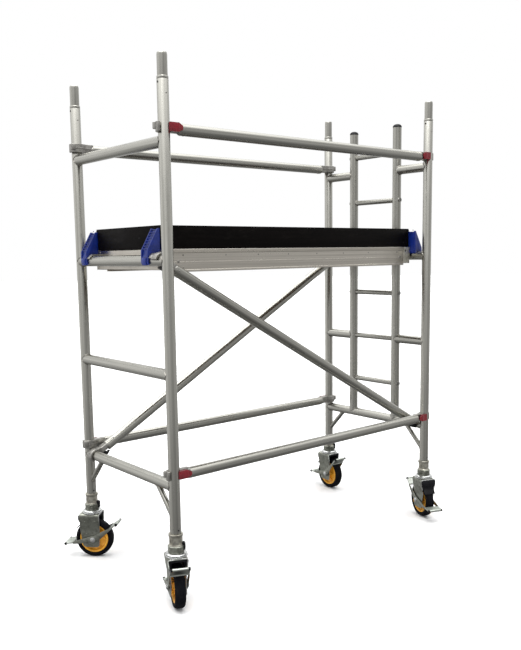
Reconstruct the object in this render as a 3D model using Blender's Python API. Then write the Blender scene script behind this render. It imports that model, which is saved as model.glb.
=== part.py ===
"""Mobile tower scaffold: aluminium frames, braces, a trapdoor platform and four castors.

Metres, +Z up. X runs along the tower from the plain end frame to the ladder frame,
Y runs across it, and the origin is on the floor under the middle of the whole object.
"""

import math

import bmesh
import bpy
from mathutils import Matrix, Vector

# ---------------------------------------------------------------- driving dimensions

GAP = 0.0003  # clearance between touching pieces
TUBE_R = 0.0254  # outer radius of the 50.8 mm frame tube
TUBE_WALL = 0.002
TUBE_SIDES = 12
ROUND_SIDES = 16
WHEEL_SIDES = 24
SMALL_SIDES = 10  # rungs and knee braces
PIN_SIDES = 8
AXLE_SIDES = 12
NUT_SIDES = 6
OVERLAP = 0.001  # how far pieces of one casting or weldment run into each other
SHARP_ANGLE = 35  # degrees: an edge sharper than this stays sharp when shaded

BAY_LENGTH = 1.786  # between the two end frames, along X
BAY_WIDTH = 0.787  # between the two standards of a frame, along Y
SHIFT_X = 0.0207  # puts the middle of the whole object on the origin
SHIFT_Y = 0.0007
LEDGER_Z = {"bottom": 0.558, "middle": 1.058, "platform": 1.558, "top": 2.058}

STANDARD_BOTTOM = 0.343
STANDARD_TOP = 2.320
SHOULDER_HEIGHT = 0.011  # of the collar that ends the tube below its spigot
SHOULDER_INSET = 0.0006
SHOULDER_CHAMFER = 0.001
SPIGOT_TOP = 2.416
SPIGOT_R = 0.0225
SPIGOT_BORE_R = 0.0160
SPIGOT_FOOT = 2.200
SPIGOT_CHAMFER = (0.003, 0.006)  # across, then along
PIN_HOLE_R = 0.0045
TOP_PIN_HOLE_Z = 2.295
FOOT_PIN_HOLE_Z = 0.361

KNEE_R = 0.0127
KNEE_WALL = 0.0018
KNEE_FOOT_Z = 0.398  # where a knee brace meets its standard
KNEE_HEAD_Y = 0.245  # where it meets the ledger, from the middle

STILE_Y = 0.170
STILE_TOP = 2.305
STUB_INSET = 0.0003  # a stub's tube is this much slimmer than the frame tube
RUNG_R = 0.015
RUNG_PROUD = 0.0005  # how far a rung's end stands out of its stile
RUNG_WALL = 0.0018
RUNG_FIRST_Z = 0.782
RUNG_PITCH = 0.276
RUNG_COUNT = 6
CAP_TOP = 2.325
CAP_SKIRT = 0.022
CAP_RIM = 0.001  # how far the cap's rim stands out past the stile
CAP_EDGE = 0.006  # height of the rim under the dome
CAP_WALL = 0.002
CAP_FLOOR = 0.004

GUARDRAIL_Z = 2.110
BASE_BRACE_Z = 0.606
DIAGONAL_Y = 0.334
CLAW_R = 0.036  # outside of the C claw
CLAW_LIP = 0.012  # how far its two lips reach past the tube's middle
CLAW_SPAN = (-0.020, 0.020)  # along the held tube
CLAW_SPAN_LEVEL = (-0.016, 0.026)  # on a level brace: up is positive
CLAW_TO_TUBE = 0.080  # from the held tube's middle to the brace tube's end
CLAW_PLUG = 0.045  # casting inside the brace tube
CLAW_BORE_R = 0.006
CLAW_BORE_START = 0.012  # from the held tube's middle
CLAW_BACK_ANGLE = 50  # degrees from the brace, where the C's back runs out into the shank
CLAW_CHAMFER = 0.002
SHANK_SPAN = (-0.008, 0.019)  # across the shank, the closed back of the C positive
SHANK_PAST = 0.004  # how far the shank runs into the brace tube
TRIGGER_INSET = 0.002  # from the casting's sides to the trigger's
TRIGGER_SHOULDER = 0.056  # where the trigger starts to narrow
TRIGGER_TAIL = 0.078
TRIGGER_TAIL_SCALE = 0.40
TRIGGER_FACE = -0.0310  # how far the trigger stands out from the tube's middle
TRIGGER_CLEARANCE = 0.0014  # round the held tube
TRIGGER_NOSE = (-32, -68)  # degrees from the brace: the part of the held tube that it shuts in
TRIGGER_TIP = 0.014  # along the brace, from the held tube's middle
TRIGGER_STEP = (0.050, 0.0025)  # start and depth of the thumb step
TRIGGER_HEEL = 0.030
TRIGGER_TAIL_BACK = -0.0268
TRIGGER_SLIDE_GAP = 0.0005  # between the trigger and the claw that it slides on
HORN_SPAN = (-0.004, 0.024)  # the tapered horn on a level brace's claw, up positive
# Outline of the horn: radius from the held tube's middle and degrees from the brace.
HORN_OUTLINE = ((0.0310, 172), (0.0430, 158), (0.0475, 149), (0.0470, 141), (0.0420, 128), (0.0310, 114))

DECK_TOP = 1.608
BEAM_BOTTOM = 1.505
BEAM_WEB_Y = 0.297
BEAM_LIP_Y = 0.303
BEAM_HALF_LENGTH = 0.800
RIM_Y = 0.2645  # inner edge of the beam's top flange
SHEET = 0.0025  # thickness of the extrusions' flanges
SHELF_Y = 0.250
SHELF_TOP = 1.591
END_OUTER_X = 0.858
END_BOTTOM = 1.515
HOOK_WIDTH = 0.024
HOOK_THICK = 0.008
HOOK_MOUTH = (150, 20)  # degrees: the part of the ledger that the hook covers
HOOK_BACK = 100  # degrees: where the hook's top runs level to the end member
END_WALL = 0.003
HATCH_X = (0.130, 0.7965)
HATCH_Y = 0.2640
HATCH_GAP = 0.0015

BOARD_TOP = 1.713
SIDE_BOARD_Y = (0.272, 0.290)
SIDE_BOARD_END = 0.840
END_BOARD_X = (0.8415, 0.8580)

CLIP_WIDTH = 0.056
CLIP_TOP = 1.700
CLIP_TOP_X = 0.870
CLIP_FOOT_X = 0.926
CLIP_FOOT_Z = 1.604
CLIP_R = 0.034
CLIP_GRIP = (150, -35)  # degrees: the part of the ledger that the clamp holds
CLIP_BULGE_END = 10  # degrees: where the clamp's outside meets the buttress
CLIP_FOOT_STEP = (0.001, 0.012)  # small upright step at the buttress's foot
CLIP_BACK_RISE = 0.024  # from the ledger's middle up to the clip's back corner

WHEEL_R = 0.100
WHEEL_HALF_WIDTH = 0.025
CORE_R = 0.076
CORE_BORE_GAP = 0.0006
HUB_R = 0.020
HUB_PROUD = 0.005
WEB_HALF_WIDTH = (0.008, 0.006)  # at the hub, then at the rim
WEB_R = (0.022, 0.060)
RIM_R = 0.066
RIM_INSET = 0.006
# Outline of half the tyre's section: inset from its outer radius, then from its side.
TYRE_SHOULDER = ((0.010, 0.001), (0.003, 0.007), (0.0, 0.014))
TRAIL = 0.010  # from the swivel axis to the axle
FORK_TOP = 0.2387
FORK_X = (-0.058, 0.048)  # ends of the fork's crown
FORK_HEAD_Y = 0.048
FORK_FOOT_Y = 0.0375
FORK_BEND_Z = 0.150
FORK_SHEET = 0.005
CROWN_THICK = 0.006
FORK_FEET = ((-0.046, 0.072), (-0.028, 0.058), (0.030, 0.058), (0.044, 0.072))  # lower corners of a cheek
NUT_R = 0.012
NUT_END = 0.0525
GUARD_R = (0.1035, 0.1060)  # mudguard behind the tyre
GUARD_HALF_WIDTH = 0.034
GUARD_ARC = (148, 108)  # degrees round the axle
GUARD_TOP_X = -0.050
GUARD_WAIST_Z = 0.195
GUARD_WAIST_ANGLE = 130
DISC_R = 0.0515
DISC_TOP = 0.2567
DISC_EDGE = (0.005, 0.004)  # height of the disc's lower chamfer, then of its upper one
DISC_CHAMFER = (0.004, 0.006)
SOCKET_R = 0.037
SOCKET_TOP = 0.288
NECK_R = 0.030
COLLAR_PROUD = 0.0025
COLLAR_HEIGHT = (0.010, 0.012)  # of the neck's top collar, without and with its chamfer
PLUG_TOP = 0.460
PLUG_CHAMFER = (0.006, 0.008)
LUG_X = (0.026, 0.0425)
LUG_HALF_WIDTH = 0.010
LUG_RISE = (-0.022, 0.014)  # from the socket's top
AXLE_R = 0.007
PEDAL_OUT = 0.0455  # outside of the pedal's side arms
PEDAL_IN = 0.0425
PEDAL_BORE_GAP = 0.0006
ARM_END = 0.112  # from the axle to where a side arm meets its tread
# Corners of a side arm as (distance from the axle, rise) along its high and its low limb.
ARM_HIGH = ((ARM_END, 0.004), (ARM_END, -0.008), (0.040, -0.018))
ARM_LOW = ((ARM_END, 0.008), (ARM_END, -0.004), (0.050, -0.014))
BOSS_R = (0.020, 0.022)  # under the axle, then over it
BOSS_LOW_ANGLE = -130
BOSS_HIGH_ANGLE = 130
BOSS_TURN = (-91, 44)  # degrees from the high limb to where each boss meets it
TREAD_INSET = 0.0005
# Section of a tread with its rolled lip: distance from the axle, then rise.
TREAD_SECTION = ((0.108, -0.009), (0.108, 0.003), (0.1455, 0.0030), (0.1495, 0.0055), (0.1555, 0.0045),
                 (0.1590, 0.0), (0.1580, -0.0055), (0.1535, -0.0090), (0.1480, -0.0085), (0.1450, -0.0050))

# Direction that each castor's high tread points in, in degrees from +X.
CASTOR_HEADINGS = {"front_left": 245.0, "back_left": 313.7, "back_right": 265.4, "front_right": 67.0}
# Direction of the small lug on each castor's socket.
LUG_HEADINGS = {"front_left": 322.0, "back_left": 313.7, "back_right": 320.0, "front_right": 67.0}
# How the two treads of each brake pedal stand, in degrees up from +X, round the axle.
TREAD_ANGLES = {
    "front_left": (50, 189),
    "back_left": (34, 189),
    "back_right": (49, 185),
    "front_right": (42, 189),
}
SIDE_X = {"left": -1, "right": 1}
SIDE_Y = {"front": -1, "back": 1}
# The hooks and the clips are staggered, so that a second platform can hang on the same ledger.
HOOK_Y = {"front_left": -0.300, "back_left": 0.265, "front_right": -0.265, "back_right": 0.300}
CLIP_Y = {"front_left": -0.258, "back_left": 0.306, "front_right": -0.306, "back_right": 0.258}

HALF_L = BAY_LENGTH / 2
HALF_W = BAY_WIDTH / 2

MATERIALS = {  # colour, roughness, metallic
    "aluminium": ((0.62, 0.61, 0.59), 0.42, 1.0),
    "extrusion": ((0.66, 0.65, 0.62), 0.38, 1.0),
    "zinc_steel": ((0.45, 0.47, 0.47), 0.40, 1.0),
    "red_plastic": ((0.62, 0.02, 0.03), 0.40, 0.0),
    "blue_plastic": ((0.01, 0.05, 0.36), 0.40, 0.0),
    "black_plastic": ((0.02, 0.02, 0.02), 0.50, 0.0),
    "phenolic_ply": ((0.025, 0.018, 0.016), 0.45, 0.0),
    "orange_core": ((0.85, 0.38, 0.02), 0.40, 0.0),
    "black_rubber": ((0.015, 0.015, 0.016), 0.75, 0.0),
}


# ---------------------------------------------------------------- helpers

def clear_scene():
    for obj in list(bpy.data.objects):
        bpy.data.objects.remove(obj, do_unlink=True)


def material(name):
    found = bpy.data.materials.get(name)
    if found:
        return found
    colour, roughness, metallic = MATERIALS[name]
    made = bpy.data.materials.new(name)
    made.use_nodes = True
    shader = made.node_tree.nodes["Principled BSDF"]
    shader.inputs["Base Color"].default_value = (*colour, 1)
    shader.inputs["Roughness"].default_value = roughness
    shader.inputs["Metallic"].default_value = metallic
    made.diffuse_color = (*colour, 1)
    return made


def mesh_of(bm, name):
    """A mesh from bm with its faces pointing out, shaded smooth with sharp edges kept."""
    bmesh.ops.recalc_face_normals(bm, faces=bm.faces)
    if bm.calc_volume(signed=True) < 0:
        bmesh.ops.reverse_faces(bm, faces=bm.faces)
    mesh = bpy.data.meshes.new(name)
    bm.to_mesh(mesh)
    bm.free()
    mesh.shade_smooth()
    mesh.set_sharp_from_angle(angle=math.radians(SHARP_ANGLE))
    return mesh


def place(name, mesh, material_name, location=(0, 0, 0), turn=0.0, parent=None):
    obj = bpy.data.objects.new(name, mesh)
    bpy.context.scene.collection.objects.link(obj)
    obj.location = location
    obj.rotation_euler = (0, 0, turn)
    obj.parent = parent
    if not mesh.materials:
        mesh.materials.append(material(material_name))
    return obj


def empty(name, location, turn=0.0, parent=None):
    obj = bpy.data.objects.new(name, None)
    bpy.context.scene.collection.objects.link(obj)
    obj.location = location
    obj.rotation_euler = (0, 0, turn)
    obj.parent = parent
    return obj


def combine(name, base, joined=(), removed=()):
    """One mesh: base with the joined meshes added and the removed ones cut out."""
    target = place(name, base, "aluminium")
    helpers = []
    for operation, meshes in (("UNION", joined), ("DIFFERENCE", removed)):
        for mesh in meshes:
            helper = place(f"{name}_helper", mesh, "aluminium")
            helpers.append(helper)
            modifier = target.modifiers.new(operation.lower(), "BOOLEAN")
            modifier.operation = operation
            modifier.solver = "EXACT"
            modifier.object = helper
    bpy.context.view_layer.update()
    graph = bpy.context.evaluated_depsgraph_get()
    result = bpy.data.meshes.new_from_object(target.evaluated_get(graph))
    result.name = name
    result.materials.clear()
    for obj in [target, *helpers]:
        bpy.data.objects.remove(obj, do_unlink=True)
    result.shade_smooth()
    result.set_sharp_from_angle(angle=math.radians(SHARP_ANGLE))
    return result


def arc(radius, first, last, steps, centre=(0.0, 0.0)):
    """Points on a circle from angle first to last, in degrees."""
    points = []
    for step in range(steps + 1):
        angle = math.radians(first + (last - first) * step / steps)
        points.append((centre[0] + radius * math.cos(angle), centre[1] + radius * math.sin(angle)))
    return points


def prism(name, outline, low, high, to_world, cut_at=None):
    """The outline (u, v) extruded from w = low to w = high; to_world maps (u, v, w).
    The faces are split where u = cut_at, so that to_world may bend there."""
    bm = bmesh.new()
    base = bm.faces.new([bm.verts.new((u, v, low)) for u, v in outline])
    grown = bmesh.ops.extrude_face_region(bm, geom=[base])
    moved = [item for item in grown["geom"] if isinstance(item, bmesh.types.BMVert)]
    bmesh.ops.translate(bm, verts=moved, vec=(0, 0, high - low))
    if cut_at is not None:
        everything = [*bm.verts, *bm.edges, *bm.faces]
        bmesh.ops.bisect_plane(bm, geom=everything, dist=1e-6, plane_co=(cut_at, 0, 0),
                               plane_no=(1, 0, 0))
    for vert in bm.verts:
        vert.co = Vector(to_world(*vert.co))
    return mesh_of(bm, name)


def box(name, low, high):
    outline = [(low[0], low[1]), (high[0], low[1]), (high[0], high[1]), (low[0], high[1])]
    return prism(name, outline, low[2], high[2], lambda u, v, w: (u, v, w))


def lathe(name, profile, sides, ring=False, axis="Z"):
    """The profile (radius, height) turned about an axis; a ring profile is a closed loop."""
    bm = bmesh.new()
    verts = [bm.verts.new((radius, 0, height)) for radius, height in profile]
    pairs = list(zip(verts, verts[1:]))
    if ring:
        pairs.append((verts[-1], verts[0]))
    edges = [bm.edges.new(pair) for pair in pairs]
    bmesh.ops.spin(bm, geom=verts + edges, cent=(0, 0, 0), axis=(0, 0, 1),
                   angle=math.tau, steps=sides, use_merge=True)
    bmesh.ops.remove_doubles(bm, verts=bm.verts, dist=1e-6)
    if axis == "Y":
        bmesh.ops.rotate(bm, verts=bm.verts, cent=(0, 0, 0), matrix=Matrix.Rotation(math.pi / 2, 3, "X"))
    return mesh_of(bm, name)


def across(direction):
    """Two unit vectors square to direction."""
    helper = Vector((0, 0, 1)) if abs(direction.z) < 0.9 else Vector((1, 0, 0))
    first = direction.cross(helper).normalized()
    return first, direction.cross(first).normalized()


def reach(point, direction, crossing):
    """How far along direction a tube's wall starts, to sit on the member that it crosses."""
    if crossing is None:
        return 0.0
    centre, axis, radius = crossing
    offset = point - centre
    flat = offset - axis * offset.dot(axis)
    run = direction - axis * direction.dot(axis)
    a = run.dot(run)
    b = flat.dot(run)
    c = flat.dot(flat) - radius * radius
    return (-b + math.sqrt(max(0.0, b * b - a * c))) / a


def tube(name, start, end, radius, wall, start_on=None, end_on=None, sides=TUBE_SIDES):
    """A straight hollow tube. start_on and end_on are (centre, axis, radius) of the round
    members that its ends are shaped to sit on."""
    start, end = Vector(start), Vector(end)
    along = (end - start).normalized()
    first, second = across(along)
    bm = bmesh.new()
    loops = []
    for origin, heading, crossing, size in (
        (start, along, start_on, radius),
        (end, -along, end_on, radius),
        (end, -along, end_on, radius - wall),
        (start, along, start_on, radius - wall),
    ):
        verts = []
        for side in range(sides):
            angle = math.tau * side / sides
            point = origin + (first * math.cos(angle) + second * math.sin(angle)) * size
            verts.append(bm.verts.new(point + heading * reach(point, heading, crossing)))
        loops.append(verts)
    for this, following in zip(loops, loops[1:] + loops[:1]):
        for side in range(sides):
            other = (side + 1) % sides
            bm.faces.new((this[side], this[other], following[other], following[side]))
    return mesh_of(bm, name)


def rod(name, start, end, radius, sides=TUBE_SIDES):
    """A straight solid round bar."""
    start, end = Vector(start), Vector(end)
    turn = Vector((0, 0, 1)).rotation_difference((end - start).normalized())
    bm = bmesh.new()
    bmesh.ops.create_cone(bm, cap_ends=True, segments=sides, radius1=radius, radius2=radius,
                          depth=(end - start).length)
    for vert in bm.verts:
        vert.co = turn @ vert.co + (start + end) / 2
    return mesh_of(bm, name)


def seat(centre, axis, radius=TUBE_R, sides=TUBE_SIDES):
    """The member that another tube's end sits on, with clearance round its flats."""
    return Vector(centre), Vector(axis), (radius + GAP) / math.cos(math.pi / sides)


def corner(side_x, side_y, z=0.0):
    return Vector((side_x * HALF_L, side_y * HALF_W, z))


def shifted(name, mesh, material_name):
    """A fixed piece, whose mesh is already in the tower's own coordinates."""
    return place(name, mesh, material_name, (SHIFT_X, SHIFT_Y, 0))


# ---------------------------------------------------------------- end frames

def standard_mesh():
    """An upright tube with its spigot riveted in, on its own axis."""
    inner = TUBE_R - TUBE_WALL
    neck = STANDARD_TOP - SHOULDER_HEIGHT
    profile = [
        (TUBE_R, STANDARD_BOTTOM),
        (TUBE_R, neck),
        (TUBE_R - SHOULDER_INSET, neck + SHOULDER_CHAMFER),
        (TUBE_R - SHOULDER_INSET, STANDARD_TOP - SHOULDER_CHAMFER),
        (TUBE_R - SHOULDER_INSET - SHOULDER_CHAMFER, STANDARD_TOP),
        (SPIGOT_R, STANDARD_TOP),
        (SPIGOT_R, SPIGOT_TOP - SPIGOT_CHAMFER[1]),
        (SPIGOT_R - SPIGOT_CHAMFER[0], SPIGOT_TOP),
        (SPIGOT_BORE_R, SPIGOT_TOP),
        (SPIGOT_BORE_R, SPIGOT_FOOT),
        (inner, SPIGOT_FOOT),
        (inner, STANDARD_BOTTOM),
    ]
    past = TUBE_R + 0.01  # well outside the tube, so that a hole is cut right through
    holes = [
        rod("hole", (-past, 0, TOP_PIN_HOLE_Z), (past, 0, TOP_PIN_HOLE_Z), PIN_HOLE_R, PIN_SIDES),
        rod("hole", (0, -past, FOOT_PIN_HOLE_Z), (0, past, FOOT_PIN_HOLE_Z), PIN_HOLE_R, PIN_SIDES),
    ]
    return combine("standard", lathe("standard", profile, TUBE_SIDES, ring=True), removed=holes)


def knee_meshes(side_x, bottom_z):
    """The two struts from a bottom ledger down to the feet of its standards."""
    ledger = (Vector((side_x * HALF_L, 0, bottom_z)), Vector((0, 1, 0)), TUBE_R - TUBE_WALL / 2)
    meshes = []
    for side_y in SIDE_Y.values():
        foot = corner(side_x, side_y, KNEE_FOOT_Z)
        head = Vector((side_x * HALF_L, side_y * KNEE_HEAD_Y, bottom_z))
        meshes.append(tube("knee", foot, head, KNEE_R, KNEE_WALL, seat(foot, (0, 0, 1)), ledger,
                           SMALL_SIDES))
    return meshes


def ledger_mesh(side_x, z):
    """A full-width ledger between the two standards of an end frame."""
    front, back = corner(side_x, -1, z), corner(side_x, 1, z)
    return tube("ledger", front, back, TUBE_R, TUBE_WALL, seat(front, (0, 0, 1)), seat(back, (0, 0, 1)))


def bottom_ledger_mesh(side_x):
    z = LEDGER_Z["bottom"]
    return combine("bottom_ledger", ledger_mesh(side_x, z), joined=knee_meshes(side_x, z))


def add_standards():
    mesh = standard_mesh()
    for name_x, side_x in SIDE_X.items():
        for name_y, side_y in SIDE_Y.items():
            spot = corner(side_x, side_y) + Vector((SHIFT_X, SHIFT_Y, 0))
            place(f"standard_{name_y}_{name_x}", mesh, "aluminium", spot)


def add_left_ledgers():
    shifted("left_ledger_bottom", bottom_ledger_mesh(-1), "aluminium")
    for level in ("middle", "platform", "top"):
        shifted(f"left_ledger_{level}", ledger_mesh(-1, LEDGER_Z[level]), "aluminium")


def add_ladder():
    """Bottom ledger, two stiles, their stubs to the standards and the rungs, welded up."""
    bottom = LEDGER_Z["bottom"]
    joined = []
    in_wall = TUBE_R - TUBE_WALL / 2
    ledger_top = (Vector((HALF_L, 0, bottom)), Vector((0, 1, 0)), in_wall)
    for side_y in SIDE_Y.values():
        stile = Vector((HALF_L, side_y * STILE_Y, 0))
        joined.append(tube("stile", stile + Vector((0, 0, bottom)), stile + Vector((0, 0, STILE_TOP)),
                           TUBE_R, TUBE_WALL, ledger_top))
        for level in ("middle", "platform", "top"):
            rise = Vector((0, 0, LEDGER_Z[level]))
            standard = corner(1, side_y) + rise
            joined.append(tube("stub", standard, stile + rise, TUBE_R - STUB_INSET, TUBE_WALL,
                               seat(standard, (0, 0, 1)), (stile, Vector((0, 0, 1)), in_wall)))
    rung_end = STILE_Y + TUBE_R + RUNG_PROUD
    bore_end = rung_end + OVERLAP
    bores = []
    for count in range(RUNG_COUNT):
        z = RUNG_FIRST_Z + count * RUNG_PITCH
        joined.append(rod("rung", (HALF_L, -rung_end, z), (HALF_L, rung_end, z), RUNG_R, SMALL_SIDES))
        bores.append(rod("bore", (HALF_L, -bore_end, z), (HALF_L, bore_end, z), RUNG_R - RUNG_WALL,
                         SMALL_SIDES))
    mesh = combine("ladder_frame", bottom_ledger_mesh(1), joined=joined, removed=bores)
    shifted("ladder_frame", mesh, "aluminium")


def add_stile_caps():
    """Plastic caps: a skirt pushed into each stile under a rim and a dome."""
    inner = TUBE_R - TUBE_WALL - GAP
    rim = TUBE_R + CAP_RIM
    foot = STILE_TOP - CAP_SKIRT
    edge = STILE_TOP + CAP_EDGE
    profile = [(inner - CAP_WALL, foot), (inner, foot), (inner, STILE_TOP + GAP)]
    profile += [(rim, STILE_TOP + GAP), (rim, edge)]
    for angle in (30, 60):
        bend = math.radians(angle)
        profile.append((rim * math.cos(bend), edge + (CAP_TOP - edge) * math.sin(bend)))
    profile += [(0, CAP_TOP), (0, STILE_TOP + CAP_FLOOR), (inner - CAP_WALL, STILE_TOP + CAP_FLOOR)]
    closed = lathe("stile_cap", profile + profile[:1], TUBE_SIDES)
    for name_y, side_y in SIDE_Y.items():
        place(f"stile_cap_{name_y}", closed, "black_plastic",
              (HALF_L + SHIFT_X, side_y * STILE_Y + SHIFT_Y, 0))


# ---------------------------------------------------------------- braces

def claw_frame(held, towards, inside):
    """Maps (u, v, w) of a claw into the tower: u from the held tube to the brace's middle,
    v towards the closed back of the C, w along the held tube."""
    u_axis = Vector(towards).normalized()
    v_axis = Vector(inside).normalized()
    w_axis = u_axis.cross(v_axis)
    origin = Vector(held)
    return lambda u, v, w: origin + u_axis * u + v_axis * v + w_axis * w


def claw_outline():
    """The C round the held tube, with the shank that runs to the brace tube."""
    inner = seat((0, 0, 0), (0, 0, 1))[2]
    outline = [(inner, -CLAW_LIP)]
    outline += arc(inner, 0, 180, 8)
    outline += [(-inner, -CLAW_LIP), (-CLAW_R + CLAW_CHAMFER, -CLAW_LIP)]
    outline += arc(CLAW_R, 180, CLAW_BACK_ANGLE, 5)
    shank_low, shank_high = SHANK_SPAN
    shank_end = CLAW_TO_TUBE + SHANK_PAST
    outline += [(shank_end, shank_high), (shank_end, shank_low), (CLAW_R, shank_low)]
    outline += [(CLAW_R - CLAW_CHAMFER / 2, -CLAW_LIP)]
    return outline


def horn_mesh(low, high, to_world):
    """Tapered horn on the far side of a level claw, which guides it on to the tube."""
    outline = [arc(radius, angle, angle, 1)[0] for radius, angle in HORN_OUTLINE]
    return prism("horn", outline, low, high, to_world)


def trigger_mesh(low, high, to_world):
    """Latch that shuts the mouth of the C. It slides back along the brace and narrows to a tail."""
    step_start, step_depth = TRIGGER_STEP
    slide = -CLAW_LIP - TRIGGER_SLIDE_GAP
    outline = arc(TUBE_R + TRIGGER_CLEARANCE, *TRIGGER_NOSE, 3)
    outline += [(TRIGGER_TIP, TRIGGER_FACE), (step_start, TRIGGER_FACE)]
    outline += [(TRIGGER_SHOULDER, TRIGGER_FACE - step_depth), (TRIGGER_TAIL, TRIGGER_FACE)]
    outline += [(TRIGGER_TAIL, TRIGGER_TAIL_BACK), (TRIGGER_SHOULDER, TRIGGER_TAIL_BACK)]
    outline += [(TRIGGER_SHOULDER, slide), (TRIGGER_HEEL, slide)]
    middle = (low + high) / 2

    def narrowed(u, v, w):
        part = max(0.0, (u - TRIGGER_SHOULDER) / (TRIGGER_TAIL - TRIGGER_SHOULDER))
        return to_world(u, v, middle + (w - middle) * (1 - part * (1 - TRIGGER_TAIL_SCALE)))

    return prism("trigger", outline, low, high, narrowed, cut_at=TRIGGER_SHOULDER)


def add_brace(name, ends, inside, held_axes):
    """A brace tube with a cast claw and a sliding trigger at each end."""
    ends = [Vector(end) for end in ends]
    middle = (ends[0] + ends[1]) / 2
    along = (ends[1] - ends[0]).normalized()
    first = ends[0] + along * CLAW_TO_TUBE
    last = ends[1] - along * CLAW_TO_TUBE
    body = tube(name, first, last, TUBE_R, TUBE_WALL)
    castings = []
    for label, end in zip(held_axes, ends):
        towards = (middle - end).normalized()
        frame = claw_frame(end, towards, inside)
        # On a level brace the casting and its trigger stand a little above the tube's middle.
        upper = round((frame(0, 0, 1) - frame(0, 0, 0)).z)
        low, high = sorted(w * upper for w in CLAW_SPAN_LEVEL) if upper else CLAW_SPAN
        castings.append(prism("claw", claw_outline(), low, high, frame))
        if upper:
            castings.append(horn_mesh(*sorted(w * upper for w in HORN_SPAN), frame))
        plug_start = end + towards * (CLAW_TO_TUBE - OVERLAP)
        plug_end = end + towards * (CLAW_TO_TUBE + CLAW_PLUG)
        castings.append(rod("plug", plug_start, plug_end, TUBE_R - TUBE_WALL / 2))
        trigger = trigger_mesh(low + TRIGGER_INSET, high - TRIGGER_INSET, frame)
        shifted(f"{name}_trigger_{label}", trigger, "red_plastic" if upper else "black_plastic")
    inset = along * CLAW_BORE_START
    bore = rod("bore", ends[0] + inset, ends[1] - inset, CLAW_BORE_R, PIN_SIDES)
    shifted(name, combine(name, body, joined=castings, removed=[bore]), "aluminium")


def add_braces():
    for name_y, side_y in SIDE_Y.items():
        for name, z in (("guardrail", GUARDRAIL_Z), ("base_brace", BASE_BRACE_Z)):
            add_brace(f"{name}_{name_y}", (corner(-1, side_y, z), corner(1, side_y, z)),
                      (0, -side_y, 0), ("left", "right"))
        # The front diagonal falls towards the ladder frame, the back one rises towards it.
        low, high = LEDGER_Z["bottom"], LEDGER_Z["platform"]
        left_z, right_z = (high, low) if side_y < 0 else (low, high)
        left = Vector((-HALF_L, side_y * DIAGONAL_Y, left_z))
        right = Vector((HALF_L, side_y * DIAGONAL_Y, right_z))
        along = (right - left).normalized()
        upward = Vector((-along.z, 0, along.x))
        add_brace(f"diagonal_brace_{name_y}", (left, right), upward, ("left", "right"))


# ---------------------------------------------------------------- platform

def beam_outline():
    """Section of a platform side beam: y away from the middle, then z."""
    return [
        (BEAM_LIP_Y, DECK_TOP),
        (RIM_Y, DECK_TOP),
        (RIM_Y, DECK_TOP - SHEET),
        (BEAM_WEB_Y - SHEET, DECK_TOP - SHEET),
        (BEAM_WEB_Y - SHEET, SHELF_TOP),
        (SHELF_Y, SHELF_TOP),
        (SHELF_Y, SHELF_TOP - SHEET),
        (BEAM_WEB_Y - SHEET, SHELF_TOP - SHEET),
        (BEAM_WEB_Y - SHEET, BEAM_BOTTOM + SHEET),
        (RIM_Y, BEAM_BOTTOM + SHEET),
        (RIM_Y, BEAM_BOTTOM),
        (BEAM_WEB_Y, BEAM_BOTTOM),
        (BEAM_WEB_Y, SHELF_TOP),
        (BEAM_LIP_Y, SHELF_TOP),
    ]


def hook_outline():
    """Hook over a ledger: x away from the middle, then z."""
    z = LEDGER_Z["platform"]
    inner = seat((0, 0, 0), (0, 0, 1))[2]
    outer = inner + HOOK_THICK
    root = END_OUTER_X - 4 * OVERLAP
    outline = arc(inner, *HOOK_MOUTH, 8, (HALF_L, z))
    outline += arc(outer, HOOK_MOUTH[1], HOOK_BACK, 5, (HALF_L, z))
    outline += [(root, z + outer), (root, z + inner * 0.5)]
    return outline


def add_platform():
    """The riveted frame with its four hooks, the fixed deck and the trapdoor."""
    top_gap = DECK_TOP - GAP
    beam_end = BEAM_HALF_LENGTH + 2 * OVERLAP
    beams = []
    for side_y in SIDE_Y.values():
        beams.append(prism("beam", beam_outline(), -beam_end, beam_end,
                           lambda y, z, x, s=side_y: (x, s * y, z)))
    ends = []
    for name_x, side_x in SIDE_X.items():
        low_x, high_x = sorted((side_x * BEAM_HALF_LENGTH, side_x * END_OUTER_X))
        section = [(BEAM_HALF_LENGTH, END_BOTTOM), (END_OUTER_X, END_BOTTOM), (END_OUTER_X, DECK_TOP),
                   (BEAM_HALF_LENGTH, DECK_TOP)]
        member = prism("end", section, -BEAM_WEB_Y - OVERLAP, BEAM_WEB_Y + OVERLAP,
                       lambda x, z, y, s=side_x: (s * x, y, z))
        hollow = box("hollow", (low_x + END_WALL, -BEAM_LIP_Y - OVERLAP, END_BOTTOM + END_WALL),
                     (high_x - END_WALL, BEAM_LIP_Y + OVERLAP, DECK_TOP - END_WALL))
        ends.append(combine("end", member, removed=[hollow]))
        for name_y in SIDE_Y:
            y = HOOK_Y[f"{name_y}_{name_x}"]
            ends.append(prism("hook", hook_outline(), y - HOOK_WIDTH / 2, y + HOOK_WIDTH / 2,
                              lambda x, z, w, s=side_x: (s * x, w, z)))
    shifted("platform_frame", combine("platform_frame", beams[0], joined=[beams[1], *ends]), "extrusion")

    deck_low = (-BEAM_HALF_LENGTH + GAP, -RIM_Y + GAP, SHELF_TOP + GAP)
    deck_high = (HATCH_X[0] - HATCH_GAP, RIM_Y - GAP, top_gap)
    shifted("platform_deck", box("platform_deck", deck_low, deck_high), "phenolic_ply")

    hatch_low = (HATCH_X[0], -2 * HATCH_Y, SHELF_TOP + GAP - top_gap)
    hatch_high = (HATCH_X[1], 0, 0)
    place("hatch", box("hatch", hatch_low, hatch_high), "phenolic_ply",
          (SHIFT_X, HATCH_Y + SHIFT_Y, top_gap))


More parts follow.
